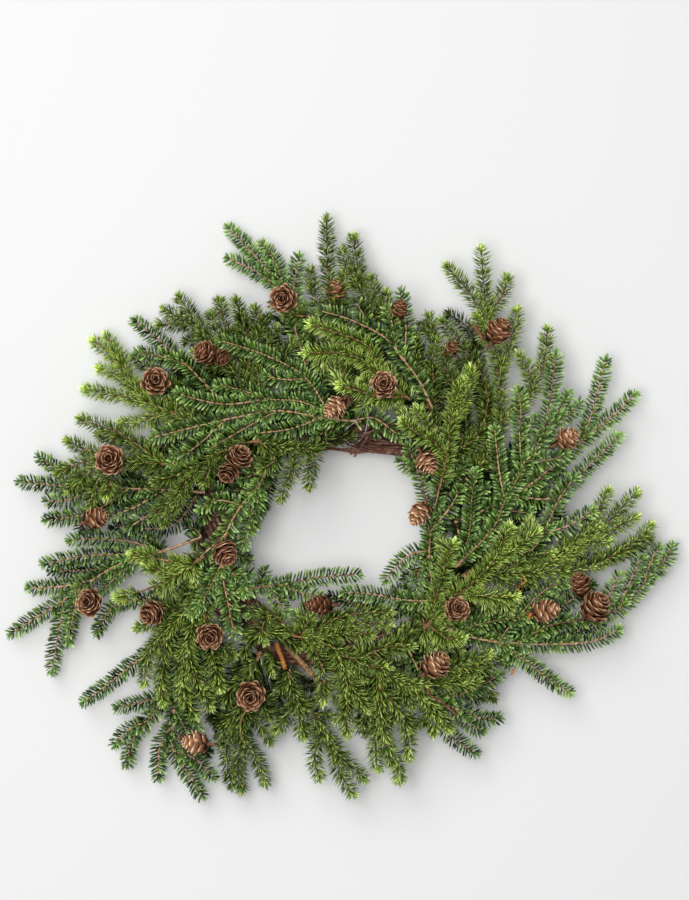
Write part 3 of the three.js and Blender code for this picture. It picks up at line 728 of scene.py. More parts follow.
VINE_BARK = bark_material(
    "vine_bark", (0.035, 0.015, 0.011), (0.17, 0.075, 0.052), (0.38, 0.20, 0.14),
    roughness=0.85, fine=0.9,
)
TWIG_BARK = bark_material(
    "twig_bark", (0.12, 0.06, 0.025), (0.30, 0.18, 0.075), (0.52, 0.34, 0.16), roughness=0.8, fine=0.8
)
SPLIT_WOOD = bark_material(
    "split_wood", (0.24, 0.075, 0.016), (0.52, 0.19, 0.04), (0.72, 0.34, 0.10), roughness=0.7, fine=1.5
)
STALK_BARK = bark_material(
    "stalk_bark", (0.10, 0.035, 0.022), (0.23, 0.085, 0.05), (0.36, 0.17, 0.11), roughness=0.75, fine=1.2
)
CONE_SCALE = scale_material()
WIRE_METAL = wire_material()

# ------------------------------------------------------------------ boughs

FIR_NEEDLE = needle((0, 0.2, 0.84, 1), (0.3, 1.0, 0.95, 0.3), -0.05, bend=0.12)
FIR_UNDER_NEEDLE = needle((0, 0.6, 1), (0.3, 1.0, 0.3), -0.05, bend=0.12)
SPRUCE_NEEDLE = needle((0, 0.3, 0.75, 1), (0.3, 1.0, 0.85, 0.3), 0.05, bend=0.12)
SPRUCE_UNDER_NEEDLE = needle((0, 0.5, 1), (0.3, 1.0, 0.3), 0.05, bend=0.12)
SPRUCE_TIP_NEEDLE = needle((0, 0.3, 0.75, 1), (0.3, 1.0, 0.9, 0.3), 0.06, bend=0.30)
UNDER_NEEDLE = needle((0, 0.45, 1), (0.3, 1.0, 0.3), 0.06, bend=0.16)
KNOT = Shape(knot_shape())
GOLDEN_TURN = math.radians(137.5)

# The step of a shoot's path and of its stem, and how far short of the shoot's tip the stem stops.
PATH_STEP = 2.0
STEM_STEP = 4.5
STEM_END = 6.0

# How far needles keep off the table, the height above which nothing may hide the bare ring, and the
# least height of a twig.
TABLE_CLEARANCE = 1.2
BARE_ABOVE = 15
TWIG_FLOOR = 4

# Painted shade on needles deep under the dome: from a little under it, over so much depth, by so
# much tone.
SHADE_START = 3
SHADE_DEPTH = 14
DEEPEST_SHADE = 0.5

# Fir needles to each side: how far over level, their pitch, the longest, their angle to the stem,
# and the painted light on them against the rest, with painted shade below nought on the lower rank.
FIR_RANKS = [
    (0.30, 3.0, 10.6, 69, 0.06),
    (-0.30, 3.0, 9.8, 73, -0.36),
    (0.95, 5.0, 7.6, 50, 0.08),
]
FIR_WIDTHS = (1.7, 2.2)
FIR_TUFT = 9
FIR_TUFT_LENGTHS = (5.0, 7.0)
FIR_TUFT_WIDTHS = (1.6, 2.0)

# Spruce needles: their angle to the stem and their length, each at three places back from the tip.
SPRUCE_BACK = (5, 11, 24)
SPRUCE_ANGLES = (60, 70, 74)
SPRUCE_LENGTHS = (8.4, 10.5, 11.4)
SPRUCE_WIDTHS = (1.0, 1.35)
SPRUCE_PER_MM = 4.0
SPRUCE_TUFT = 26
SPRUCE_TUFT_LENGTHS = (5.8, 7.6)
SPRUCE_TUFT_WIDTHS = (1.2, 1.6)

# The plain needles of the sprigs under the boughs, which get painted shade.
UNDER_PER_MM = 1.6
UNDER_LENGTHS = (11, 14.5)
UNDER_WIDTHS = (2.6, 3.8)

# What sets each sort of shoot apart: the radius of its stem at the root and near the tip, how fresh
# it is against its bough, its painted shade against it, light below nought, and how much stem is bare.
SHOOTS = {
    "main stem": dict(thick=1.35, thin=0.7, painted_shade=-0.03, bare=9.0),
    "side shoot": dict(thick=1.05, thin=0.7, painted_shade=-0.03),
    "side twig": dict(thick=0.9, thin=0.6, fresh=0.65, painted_shade=0.12),
    "low shoot": dict(thick=0.9, thin=0.6, fresh=0.55, painted_shade=0.16),
    "fill twig": dict(thick=0.8, thin=0.5, fresh=0.4, painted_shade=0.26),
}

# The sprigs under a bough: their stems, and how they fan out.
SPRIG_STEM = dict(thick=1.2, thin=0.5)
SPRIG_FAN = np.radians([-34, -17, 0, 17, 34])

# Side twigs: the pitch of those to one side, the longest, their angle to the shoot, and the least
# gap from their tip and neck to any other shoot.
TWIG_PITCH = 20
TWIG_LENGTH = 34
TWIG_ANGLES = (38, 56)
TWIG_TIP_GAP = 9.0
TWIG_NECK_GAP = 5

# Fill twigs: the grid of spots they reach for, the least gap round such a spot, how near and how far
# the stem that they leave may be, and how far aside or ahead of it the spot may lie, as cosines.
FILL_GRID = range(-232, 233, 7)
FILL_GAP = 7.5
FILL_NEAR, FILL_FAR = 11, 52
FILL_SIDEWAYS, FILL_AHEAD = 0.35, 0.93
FILL_SEED = 77

# Ovals in plan, as x, y, half length, half width and heading in degrees: where the ring shows, where
# the table shows between the boughs, and the opening with the bare ring at its top.
BARE_SPOTS = [(-25, -109, 27, 8, -49), (-43, -103, 14, 6, -70), (-106, 13, 14, 8, 75)]
TABLE_GAPS = [(160, 96, 13, 5, 92), (-138, -5, 19, 6, 42), (-169, -37, 12, 7, 0)]
OPENING = [(5, 22, 83, 67, 0), (26, 84, 35, 10, 0)]

# How far out the foliage covers the table, every 15 degrees from +X.
FULL_REACH = [
    216, 225, 225, 225, 220, 214, 228, 224, 220, 230, 184, 222,
    228, 194, 176, 232, 226, 160, 182, 180, 186, 200, 208, 236,
]
REACH_STEP = 360 / len(FULL_REACH)

# Low shoots in the gaps between the boughs: the bough each grows from, how far under the dome it
# lies, and its line in plan from the stem nearest its first point.
LOW_SHOOTS = [
    ("fir_bough_13", 8, [(-58, 84), (-53, 60), (-60, 36), (-70, 16)]),
    ("fir_bough_13", 8, [(-92, -4), (-80, -12), (-70, -20)]),
    ("fir_bough_11", 8, [(82, -62), (52, -64), (24, -56), (-4, -48)]),
    ("fir_bough_11", 8, [(88, -70), (74, -62), (62, -56)]),
    ("fir_bough_07", 8, [(-118, 44), (-140, 16), (-172, 12), (-200, 14)]),
    ("spruce_bough_11", 10, [(-68, -100), (-70, -112), (-62, -126), (-60, -146)]),
    ("spruce_bough_11", 28, [(-64, -100), (-54, -112), (-42, -120), (-26, -126)]),
    ("spruce_bough_03", 28, [(-38, -112), (-28, -128), (-14, -132), (2, -136)]),
    ("spruce_bough_03", 8, [(-36, -125), (-30, -136), (-20, -150)]),
    ("spruce_bough_12", 8, [(72, 120), (74, 134), (60, 148)]),
    ("spruce_bough_12", 8, [(14, 150), (0, 160), (-16, 180), (-22, 200)]),
    ("spruce_bough_06", 8, [(118, -117), (128, -122), (140, -132), (150, -146)]),
    ("spruce_bough_08", 8, [(-128, 106), (-150, 90), (-178, 88), (-214, 98)]),
    ("spruce_bough_08", 8, [(-112, 108), (-140, 140), (-165, 158), (-182, 170)]),
    ("spruce_bough_10", 8, [(118, 150), (134, 168), (122, 196), (102, 208)]),
    ("fir_bough_05", 8, [(168, -84), (196, -66), (222, -50), (240, -36)]),
    ("fir_bough_05", 8, [(196, -90), (226, -80), (250, -74)]),
    ("spruce_bough_05", 8, [(170, -26), (200, -14), (236, -16), (272, -8), (294, 6)]),
    ("fir_bough_01", 8, [(-176, -18), (-206, -24), (-234, -26), (-256, -26)]),
    ("spruce_bough_14", 4, [(90, -76), (104, -92), (122, -98)]),
    ("spruce_bough_14", 6, [(86, -76), (84, -92), (92, -108)]),
]


def in_spots(spots, places):
    """True for each place that lies in one of the ovals in plan."""
    x, y = places[:, 0], places[:, 1]
    found = np.zeros(len(places), bool)
    for spot_x, spot_y, half_length, half_width, heading in spots:
        turn = math.radians(heading)
        along = (x - spot_x) * math.cos(turn) + (y - spot_y) * math.sin(turn)
        across = (y - spot_y) * math.cos(turn) - (x - spot_x) * math.sin(turn)
        found |= np.hypot(along / half_length, across / half_width) < 1
    return found


def on_bare_ring(places):
    """True for each place that would hide the ring where it is bare."""
    return in_spots(BARE_SPOTS, places) & (places[:, 2] > BARE_ABOVE)


def seen_full(places):
    """True for each place in plan where foliage covers the table and the ring."""
    x, y = places[:, 0], places[:, 1]
    angle = np.degrees(np.arctan2(y, x)) % 360 / REACH_STEP
    reach = np.interp(angle, range(len(FULL_REACH) + 1), FULL_REACH + FULL_REACH[:1])
    return (np.hypot(x, y) < reach) & ~in_spots(OPENING, places)


def clear(path):
    """True when a twig's path keeps off the bare spots and the table, and stays over the covered
    part after its first third."""
    bare = in_spots(BARE_SPOTS + TABLE_GAPS, path).any()
    return not bare and seen_full(path[len(path) // 3::3]).all() and path[:, 2].min() > TWIG_FLOOR


def gaps_to(places, spot):
    """How far each place is from a spot, in plan."""
    return np.hypot(*(places[:, :2] - spot[:2]).T)


def dome_height(places):
    """How high the dome is at each place in plan."""
    x, y = places[:, 0] - RING_CENTRE_X, places[:, 1]
    offset = np.hypot(x, y) * (1 - 1 / np.hypot(x / RING_HALF_LENGTH, y / RING_HALF_WIDTH))
    fall = np.where(offset > 0, OUTER_FALL, INNER_FALL)
    return CROWN_HEIGHT - fall * (np.hypot(offset, CROWN_ROUNDING) - CROWN_ROUNDING)


def over_dome(line, start_lift, tip_lift):
    """The path of a line in plan over the dome, lifted off it by the two lifts at its ends."""
    xy = np.array(line, float)
    share = np.linspace(0, 1, len(xy))
    height = dome_height(xy) + start_lift + (tip_lift - start_lift) * share
    return smooth_line(np.column_stack([xy, height]), PATH_STEP)


def bough_paths(lines, rise):
    """The paths of a bough's lines over the dome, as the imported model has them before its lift."""
    paths = [over_dome(lines[0], 0, rise)]
    for line in lines[1:]:
        grown = np.vstack([p[int(0.05 * len(p)):int(0.9 * len(p))] for p in paths])
        root = grown[gaps_to(grown, line[0]).argmin()]
        start_lift = root[2] - dome_height(root[None])[0]
        paths.append(over_dome([root[:2], *line[1:]], start_lift, rise))
    return paths


def lift_of(node, kind, paths):
    """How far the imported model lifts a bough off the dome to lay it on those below."""
    lowest = []
    for path in paths:
        share = np.linspace(0, 1, len(path))
        swell = np.interp(share, [0, 0.02, 0.3, 0.65, 0.92, 1], [0, 0.35, 1, 1, 0.7, 0])
        lowest.append((path[:, 2] - UNDERSIDE[kind] * swell).min())
    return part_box(node)[0].z / MM - min(lowest)


def aim_needles(frames, spin, lean):
    """Needle directions, and the ways towards the stem: spun round it and leant away from it."""
    along, across, over = frames
    out = across * np.cos(spin)[:, None] + over * np.sin(spin)[:, None]
    ahead = along * np.cos(lean)[:, None] + out * np.sin(lean)[:, None]
    inner = along * np.sin(lean)[:, None] - out * np.cos(lean)[:, None]
    return ahead, inner


def turned(ahead, top, length, width):
    """Turns with +Y along each needle and +Z towards top, sized to its length and width."""
    ahead = unit(ahead)
    side = unit(np.cross(ahead, top))
    top = np.cross(side, ahead)
    sized = [side * (width / 2)[:, None], ahead * length[:, None], top * length[:, None]]
    return np.stack(sized, axis=2)


def set_needles(piece, shape, place, ahead, top, length, width, fresh, tone):
    """Adds a shoot's needles, turning up the ends of any that would go through the table. Those deep
    under the dome get painted shade, and none are set over the bare ring or the gaps."""
    ahead = unit(ahead)
    ahead[:, 2] = np.maximum(ahead[:, 2], (TABLE_CLEARANCE - place[:, 2]) / length)
    # Painted shade: needles deep under the dome are dimmed.
    depth = (dome_height(place) - SHADE_START - place[:, 2]) / SHADE_DEPTH
    tone = tone - DEEPEST_SHADE * np.clip(depth, 0, 1)
    kept = ~on_bare_ring(place) & ~in_spots(TABLE_GAPS, place)
    turns = turned(ahead, top, length, width)[kept]
    fresh, tone = np.clip(fresh, 0, 1)[kept], np.clip(tone, 0, 1)[kept]
    piece.add(shape, 0, place[kept], turns, fresh, tone, smooth=False)


def spruce_shoot(piece, path, fresh, tone, rng, bare):
    """Incurved needles all round, as thick at the end as in the middle, with a round tuft."""
    run = run_of(path)
    end = run[-1] - 6.0
    bare = min(bare, max(0.0, end - 8))
    count = int((end - bare) * SPRUCE_PER_MM)
    where = np.sort(rng.uniform(bare, end, count))
    left = run[-1] - where
    spin = GOLDEN_TURN * np.arange(count) + rng.normal(0, 0.3, count)
    below = np.sin(spin) < -0.2
    spin = np.where(below & (rng.random(count) < 0.6), -spin, spin)
    place, *frames = at_run(path, run, where)
    lean = np.radians(np.interp(left, SPRUCE_BACK, SPRUCE_ANGLES)) + rng.normal(0, 0.10, count)
    length = np.interp(left, SPRUCE_BACK, SPRUCE_LENGTHS) * rng.uniform(0.86, 1.08, count)
    ahead, inner = aim_needles(frames, spin, lean)
    newness = np.interp(left, [6, 14, 26], [0.95, 0.5, 0.2]) * fresh * 1.4 + rng.normal(0, 0.12, count)
    # Painted shade on needles under the stem and painted light on those over it, with a random tone.
    shade = tone - 0.08 + 0.20 * np.sin(spin) + rng.normal(0, 0.25, count)
    width = rng.uniform(*SPRUCE_WIDTHS, count)
    upper = np.sin(spin) > 0.72
    needles = place, ahead, inner, length, width, newness, shade
    for shape, half in ((SPRUCE_NEEDLE, upper), (SPRUCE_UNDER_NEEDLE, ~upper)):
        set_needles(piece, shape, *(values[half] for values in needles))

    spin = GOLDEN_TURN * np.arange(SPRUCE_TUFT) + rng.uniform(0, 6)
    place, *frames = at_run(path, run, end - rng.uniform(-1.0, 3.0, SPRUCE_TUFT))
    lean = np.radians(rng.uniform(12, 86, SPRUCE_TUFT))
    length = rng.uniform(*SPRUCE_TUFT_LENGTHS, SPRUCE_TUFT)
    width = rng.uniform(*SPRUCE_TUFT_WIDTHS, SPRUCE_TUFT)
    newness = fresh * 1.15 + rng.normal(0.05, 0.14, SPRUCE_TUFT)
    shade = tone + rng.normal(0.08, 0.16, SPRUCE_TUFT)
    ahead, inner = aim_needles(frames, spin, lean)
    set_needles(piece, SPRUCE_TIP_NEEDLE, place, ahead, inner, length, width, newness, shade)


def fir_shoot(piece, path, fresh, tone, rng, bare):
    """Flat blunt needles in ranks: an upper and a lower one to each side, and some over the stem."""
    run = run_of(path)
    end = run[-1] - 5.0
    bare = min(bare, max(0.0, end - 8))
    cover = rng.uniform(0.65, 1.9)
    starts = rng.uniform(0, 3, 2)
    for lift, pitch, longest, angle, painted_light in FIR_RANKS:
        shape = FIR_UNDER_NEEDLE if lift < 0 else FIR_NEEDLE
        pitch = pitch * cover if lift > 0.9 else pitch
        for side, start in zip((1, -1), starts):
            where = np.arange(bare + start, end, pitch)
            where = where + rng.normal(0, 0.22, len(where))
            count = len(where)
            left = run[-1] - where
            place, *frames = at_run(path, run, where)
            along, across, over = frames
            spin = (0.0 if side > 0 else math.pi) + side * (lift + rng.normal(0, 0.13, count))
            lean = np.interp(left, [3, 9, 22], [0.5, 0.85, 1.0]) * math.radians(angle)
            length = np.interp(left, [3, 10, 26], [0.68, 0.9, 1.0]) * longest
            ahead, _ = aim_needles(frames, spin, lean + rng.normal(0, 0.08, count))
            top = over + along * 0.45 + across * side * 0.3 + rng.normal(0, 0.22, (count, 3))
            newness = np.interp(left, [3, 8, 20], [1.0, 0.6, 0.05]) * fresh * 1.5
            # Painted light on the upper ranks and painted shade on the lower one, with a random tone.
            shade = tone + painted_light + rng.normal(0, 0.28, count)
            length = length * rng.uniform(0.84, 1.1, count)
            width = rng.uniform(*FIR_WIDTHS, count)
            set_needles(piece, shape, place, ahead, top, length, width, newness, shade)

    place, *frames = at_run(path, run, np.full(FIR_TUFT, end) + rng.uniform(-2, 1, FIR_TUFT))
    spin = np.linspace(0, math.pi, FIR_TUFT) + rng.normal(0, 0.2, FIR_TUFT)
    lean = np.radians(rng.uniform(10, 58, FIR_TUFT))
    length = rng.uniform(*FIR_TUFT_LENGTHS, FIR_TUFT)
    width = rng.uniform(*FIR_TUFT_WIDTHS, FIR_TUFT)
    newness = np.full(FIR_TUFT, fresh * 1.4)
    shade = tone + rng.normal(0.05, 0.12, FIR_TUFT)
    ahead, inner = aim_needles(frames, spin, lean)
    set_needles(piece, FIR_NEEDLE, place, ahead, inner, length, width, newness, shade)


def under_shoot(piece, path, tone, rng):
    """A sprig under the boughs, with fewer and plainer needles in painted shade."""
    run = run_of(path)
    count = int(run[-1] * UNDER_PER_MM)
    where = rng.uniform(5, run[-1] - 3, count)
    spin = rng.uniform(-0.5, math.pi + 0.5, count)
    place, *frames = at_run(path, run, where)
    lean = np.radians(rng.uniform(42, 68, count))
    length, width = rng.uniform(*UNDER_LENGTHS, count), rng.uniform(*UNDER_WIDTHS, count)
    # Painted shade for lying under the boughs, with a random tone.
    shade = tone - 0.34 + rng.normal(0, 0.1, count)
    ahead, inner = aim_needles(frames, spin, lean)
    set_needles(piece, UNDER_NEEDLE, place, ahead, inner, length, width, np.zeros(count), shade)


def side_twigs(paths, taken, rng):
    """Short side shoots from every path of a bough, to alternate sides and a little lower, where
    they don't cover another shoot, the hole or the table outside the wreath. taken lists the plans
    of all shoots so far."""
    for path in paths:
        run = run_of(path)
        side = rng.choice([-1, 1])
        for start in np.arange(rng.uniform(8, 16), run[-1] - 24, TWIG_PITCH / 2):
            side = -side
            root, along, _, _ = at_run(path, run, np.array([start + rng.uniform(-3, 3)]))
            length = min(TWIG_LENGTH, 0.55 * (run[-1] - start) + 6) * rng.uniform(0.8, 1.1)
            turn = side * math.radians(rng.uniform(*TWIG_ANGLES))
            heading = math.atan2(along[0, 1], along[0, 0]) + turn
            points = [root[0]]
            for step in range(3):
                bend = heading - turn * 0.22 * step
                onward = np.array([math.cos(bend), math.sin(bend), 0]) * length / 3
                points.append(points[-1] + onward - (0, 0, rng.uniform(0.2, 1.6)))
            *_, neck, tip = points
            shoots = np.vstack(taken)
            tip_gap, neck_gap = gaps_to(shoots, tip).min(), gaps_to(shoots, neck).min()
            apart = tip_gap > TWIG_TIP_GAP and neck_gap > TWIG_NECK_GAP
            twig = smooth_line(points, PATH_STEP)
            if apart and seen_full(tip[None])[0] and clear(twig):
                taken.append(twig[::2, :2])
                yield twig


def fill_twigs(laid, taken, rng):
    """More side shoots into the places that no shoot covers yet: each leaves the nearest bough that
    passes at a fair angle, dips under it and reaches over the gap. Gives (bough, path)."""
    roots, ways, owners = [], [], []
    for bough, paths in laid:
        for path in paths:
            inner = slice(4, max(5, len(path) - 6), 2)
            roots.append(path[inner])
            ways.append(unit(np.gradient(path, axis=0))[inner])
            owners += [bough] * len(roots[-1])
    roots, ways = np.vstack(roots), unit(np.vstack(ways)[:, :2])
    grid = np.array([(x, y) for x in FILL_GRID for y in FILL_GRID], float)
    for spot in rng.permutation(grid):
        spot = spot + rng.uniform(-2.5, 2.5, 2)
        if not seen_full(spot[None])[0] or gaps_to(np.vstack(taken), spot).min() < FILL_GAP:
            continue
        onward = spot - roots[:, :2]
        distance = np.hypot(*onward.T)
        facing = (onward * ways).sum(axis=1) / distance
        fair = (distance > FILL_NEAR) & (distance < FILL_FAR)
        fair &= (facing > FILL_SIDEWAYS) & (facing < FILL_AHEAD)
        if not fair.any():
            continue
        best = np.where(fair, distance, 1e9).argmin()
        root, way, reach = roots[best], ways[best], onward[best]
        sideways = math.copysign(0.13, way[0] * reach[1] - way[1] * reach[0])
        middle = root[:2] + reach * 0.5 + np.array([-reach[1], reach[0]]) * sideways
        beyond = spot + reach * (7 / distance[best])
        low = max(6.0, min(root[2] - rng.uniform(3, 8), dome_height(spot[None])[0] + 3))
        halfway = (root[2] + low) / 2 - 1
        points = [root, (*middle, halfway), (*spot, low), (*beyond, low + rng.uniform(-1, 1.5))]
        twig = smooth_line(points, PATH_STEP)
        if clear(twig):
            taken.append(twig[::2, :2])
            yield owners[best], twig


def low_path(places, drop, line):
    """From the nearest of a bough's stem places, out along the line under the dome."""
    root = places[gaps_to(places, line[0]).argmin()]
    onward = np.array(line[1:], float)
    height = np.maximum(7.0, dome_height(onward) - drop)
    return smooth_line(np.vstack([root, np.column_stack([onward, height])]), PATH_STEP)


def under_sprigs(path, rng):
    """Lower sprigs from the same binding as a bough, fanned to either side beneath it."""
    root = path[0]
    for turn in SPRIG_FAN:
        turn = turn + math.radians(rng.uniform(-5, 5))
        spin = np.array([[math.cos(turn), -math.sin(turn)], [math.sin(turn), math.cos(turn)]])
        reach = rng.uniform(0.5, 0.85)
        kept = path[:: max(1, len(path) // 5)]
        plan = root[:2] + (kept[:, :2] - root[:2]) @ spin.T * reach
        drop = np.linspace(2, rng.uniform(9, 17), len(plan))
        height = np.maximum(5.0, np.minimum(kept[:, 2], dome_height(plan) + 2) - drop)
        sprig = smooth_line(np.column_stack([plan, height]), PATH_STEP)
        if clear(sprig):
            yield sprig


def stem(piece, path, thick, thin, rng):
    """A bar of bark that stops just short of the tip, with a knot of bud scales where it starts."""
    run = run_of(path)
    path = path[run <= run[-1] - STEM_END]
    bare = np.flatnonzero(on_bare_ring(path))
    path = path[bare[-1] + 1:] if len(bare) else path
    if len(path) < 5:
        return
    path = resample(path, STEM_STEP)
    radii = np.linspace(thick, thin, len(path)) * rng.uniform(0.84, 1.16, len(path))
    piece.add(Shape(bar(path, radii, 5)), 1, tone=rng.uniform(0.2, 0.7))
    lump = np.eye(3)[None] * thick * rng.uniform(2.2, 3.0)
    piece.add(KNOT, 1, path[1][None] + (0, 0, 0.4), lump, tone=rng.uniform(0.35, 0.8))


class Bough:
    """One bough's piece while its shoots are added."""

    def __init__(self, node, kind, fresh, tone, seed):
        self.node, self.kind, self.fresh, self.tone = node, kind, fresh, tone
        self.rng = np.random.default_rng(seed)
        self.piece = Piece()

    def shoot(self, path, thick, thin, fresh=1.0, painted_shade=0.0, bare=1.0):
        grow = fir_shoot if self.kind == "fir" else spruce_shoot
        stem(self.piece, path, thick, thin, self.rng)
        # Each sort of shoot gets its painted shade, or painted light, against its bough's tone.
        grow(self.piece, path, self.fresh * fresh, self.tone - painted_shade, self.rng, bare)

    def sprig(self, path):
        stem(self.piece, path, **SPRIG_STEM, rng=self.rng)
        under_shoot(self.piece, path, self.tone, self.rng)

    def finish(self):
        materials = (FIR, FIR_BARK) if self.kind == "fir" else (SPRUCE, SPRUCE_BARK)
        self.piece.finish(f"{self.node}_foliage", [self.node], self.kind, materials)


def laid_boughs():
    """Every bough with its paths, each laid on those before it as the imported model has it."""
    counted = {"fir": 0, "spruce": 0}
    laid = []
    for seed, (kind, rise, fresh, tone, lines) in enumerate(BOUGHS):
        counted[kind] += 1
        node = f"{kind}_bough_{counted[kind]:02d}"
        paths = bough_paths(lines, rise)
        lift = lift_of(node, kind, paths)
        laid.append((Bough(node, kind, fresh, tone, seed), [path + (0, 0, lift) for path in paths]))
    return laid


def all_boughs():
    """Makes every bough, and gives the places along the stems that lie on top."""
    laid = laid_boughs()
    taken = [path[::2, :2] for _, paths in laid for path in paths]
    stems = {bough.node: (bough, np.vstack(paths)) for bough, paths in laid}
    for node, drop, line in LOW_SHOOTS:
        bough, places = stems[node]
        path = low_path(places, drop, line)
        taken.append(path[::2, :2])
        bough.shoot(path, **SHOOTS["low shoot"])
    for bough, paths in laid:
        for i, path in enumerate(paths):
            bough.shoot(path, **SHOOTS["side shoot" if i else "main stem"])
        for twig in side_twigs(paths, taken, bough.rng):
            bough.shoot(twig, **SHOOTS["side twig"])
    for bough, twig in fill_twigs(laid, taken, np.random.default_rng(FILL_SEED)):
        bough.shoot(twig, **SHOOTS["fill twig"])
    for bough, paths in laid:
        for sprig in under_sprigs(paths[0], bough.rng):
            bough.sprig(sprig)
        bough.finish()
    return np.vstack([path for _, paths in laid for path in paths])


STEM_PLACES = all_boughs()

# What lies on the foliage: how near a stem has to be to count, how far its needles stand over it,
# and the height where no stem is near.
NEAR_STEM = 10
OVER_STEM = 4
BARE_TOP = 42.0


def top_at(x, y):
    """How high the foliage reaches near a place, or the bare ring where there is none."""
    near = gaps_to(STEM_PLACES, (x, y)) < NEAR_STEM
    return STEM_PLACES[near, 2].max() + OVER_STEM if near.any() else BARE_TOP


# ------------------------------------------------------------------ cones


def cone_scale(flare, seed):
    """A thin broad scale, one across and one long. It leaves the core along +Y, curls up towards +Z,
    wraps round the cone, and turns out a little at its wavy rim."""
    steps = 40
    along = np.linspace(0, 1, steps + 1)
    leaving = np.radians(np.interp(along, [0, 0.62, 0.82, 1], [84, 34, 28, 28 + flare]))
    out = np.concatenate([[0], np.cumsum(np.sin(leaving))[:-1]]) / steps
    up = np.concatenate([[0], np.cumsum(np.cos(leaving))[:-1]]) / steps
    bm = bmesh.new()
    bmesh.ops.create_grid(bm, x_segments=4, y_segments=4, size=0.5)
    grain = bm.verts.layers.float_vector.new("grain")
    for v in bm.verts:
        x, y = v.co.x, (v.co.y + 0.5) ** 0.75
        breadth = np.interp(y, [0, 0.25, 0.6, 0.88, 1], [0.3, 0.66, 0.94, 1.0, 0.84])
        share = y * (1 - 0.20 * (2 * x) ** 2 + 0.07 * noise.noise(Vector((x * 6, 0, seed * 3.1))))
        wave = 0.09 * noise.noise(Vector((x * 5, y * 2, seed * 7.3))) * y
        wrap = 0.24 * (2 * x * breadth) ** 2
        v.co = (x * breadth, np.interp(share, along, out) - wrap * y + wave, np.interp(share, along, up))
        v[grain] = (x, share, seed)
    bmesh.ops.recalc_face_normals(bm, faces=bm.faces[:])
    bmesh.ops.solidify(bm, geom=bm.faces[:], thickness=0.030)
    return Shape(bm)


SCALES = [cone_scale(flare, i) for i, flare in enumerate((45, 62, 30))]
SCALES_PER_CONE = 42
CONE_SEED = 1000
HALF_HIDDEN_SEED = 100
HALF_HIDDEN_RISE = 5


def cone_axis(cone):
    """The way a cone's tip points."""
    turn, tilt = math.radians(cone["heading"]), math.radians(cone["lean"])
    return np.array([math.sin(tilt) * math.cos(turn), math.sin(tilt) * math.sin(turn), math.cos(tilt)])


def cone_top(cone, centre_height):
    """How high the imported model's plain cone reaches."""
    lean = math.radians(cone["lean"])
    profile = [(0.04, 0.5), (0.25, 0.93), (0.45, 1), (0.75, 0.8), (0.94, 0.42), (1, 0)]
    reach = (
        (along - 0.5) * cone["length"] * math.cos(lean) + share * cone["diameter"] / 2 * math.sin(lean)
        for along, share in profile
    )
    return centre_height + max(reach)


def rest_height(cone):
    """Where a cone's middle would be if it lay on the dome."""
    at = np.array([cone["at"]], float)
    return dome_height(at)[0] + cone["diameter"] / 2


def cone_body(piece, cone, centre, rng):
    """Scales set in a spiral round the core, closing towards the tip. Gives the foot of the cone and
    the way it points."""
    axis = cone_axis(cone)
    ref = np.array([0.0, 0, 1]) if abs(axis[2]) < 0.9 else np.array([1.0, 0, 0])
    u = unit(np.cross(ref, axis))
    w = np.cross(axis, u)
    count = SCALES_PER_CONE
    order = np.arange(count)
    share = (order / (count - 1)) ** 0.9
    spin = GOLDEN_TURN * order + rng.normal(0, 0.12, count)
    out = u * np.cos(spin)[:, None] + w * np.sin(spin)[:, None]
    length, radius = cone["length"], cone["diameter"] / 2
    closing = np.radians(np.interp(share, [0, 0.2, 0.6, 1], [-8, 0, 8, 26]) + rng.normal(0, 6, count))
    size = np.interp(share, [0, 0.25, 0.7, 1], [0.66, 1.0, 0.76, 0.42]) * radius * 1.1
    core = np.interp(share, [0, 0.3, 1], [0.14, 0.2, 0.02]) * radius
    height = length * (np.interp(share, [0, 1], [0.05, 0.74]) - 0.5)
    place = centre + axis * height[:, None] + out * core[:, None]
    outward = out * np.cos(closing)[:, None] + axis * np.sin(closing)[:, None]
    upward = axis * np.cos(closing)[:, None] - out * np.sin(closing)[:, None]
    side = np.cross(outward, upward)
    wide = np.interp(share, [0, 0.3, 0.75, 1], [0.74, 0.92, 0.68, 0.40]) * radius
    wide = wide * rng.uniform(0.9, 1.1, count)
    turns = np.stack([side * wide[:, None], outward * size[:, None], upward * size[:, None]], axis=2)
    tone = np.clip(cone["pale"] + rng.normal(0.03, 0.11, count), 0, 1)
    which = rng.integers(0, len(SCALES), count)
    for n, scale in enumerate(SCALES):
        chosen = which == n
        piece.add(scale, 0, place[chosen], turns[chosen], 0.0, tone[chosen])
        # A scale's colour runs from its foot to its rim.
        piece.fresh[-1] = np.tile(scale.grain[:, 1], int(chosen.sum()))
    core_path = centre + axis * length * np.array([-0.48, -0.2, 0.12, 0.3])[:, None]
    piece.add(Shape(bar(core_path, np.array([0.08, 0.2, 0.16, 0.04]) * length * 0.5, 8)), 1, tone=0.1)
    return centre - axis * length * 0.5, axis


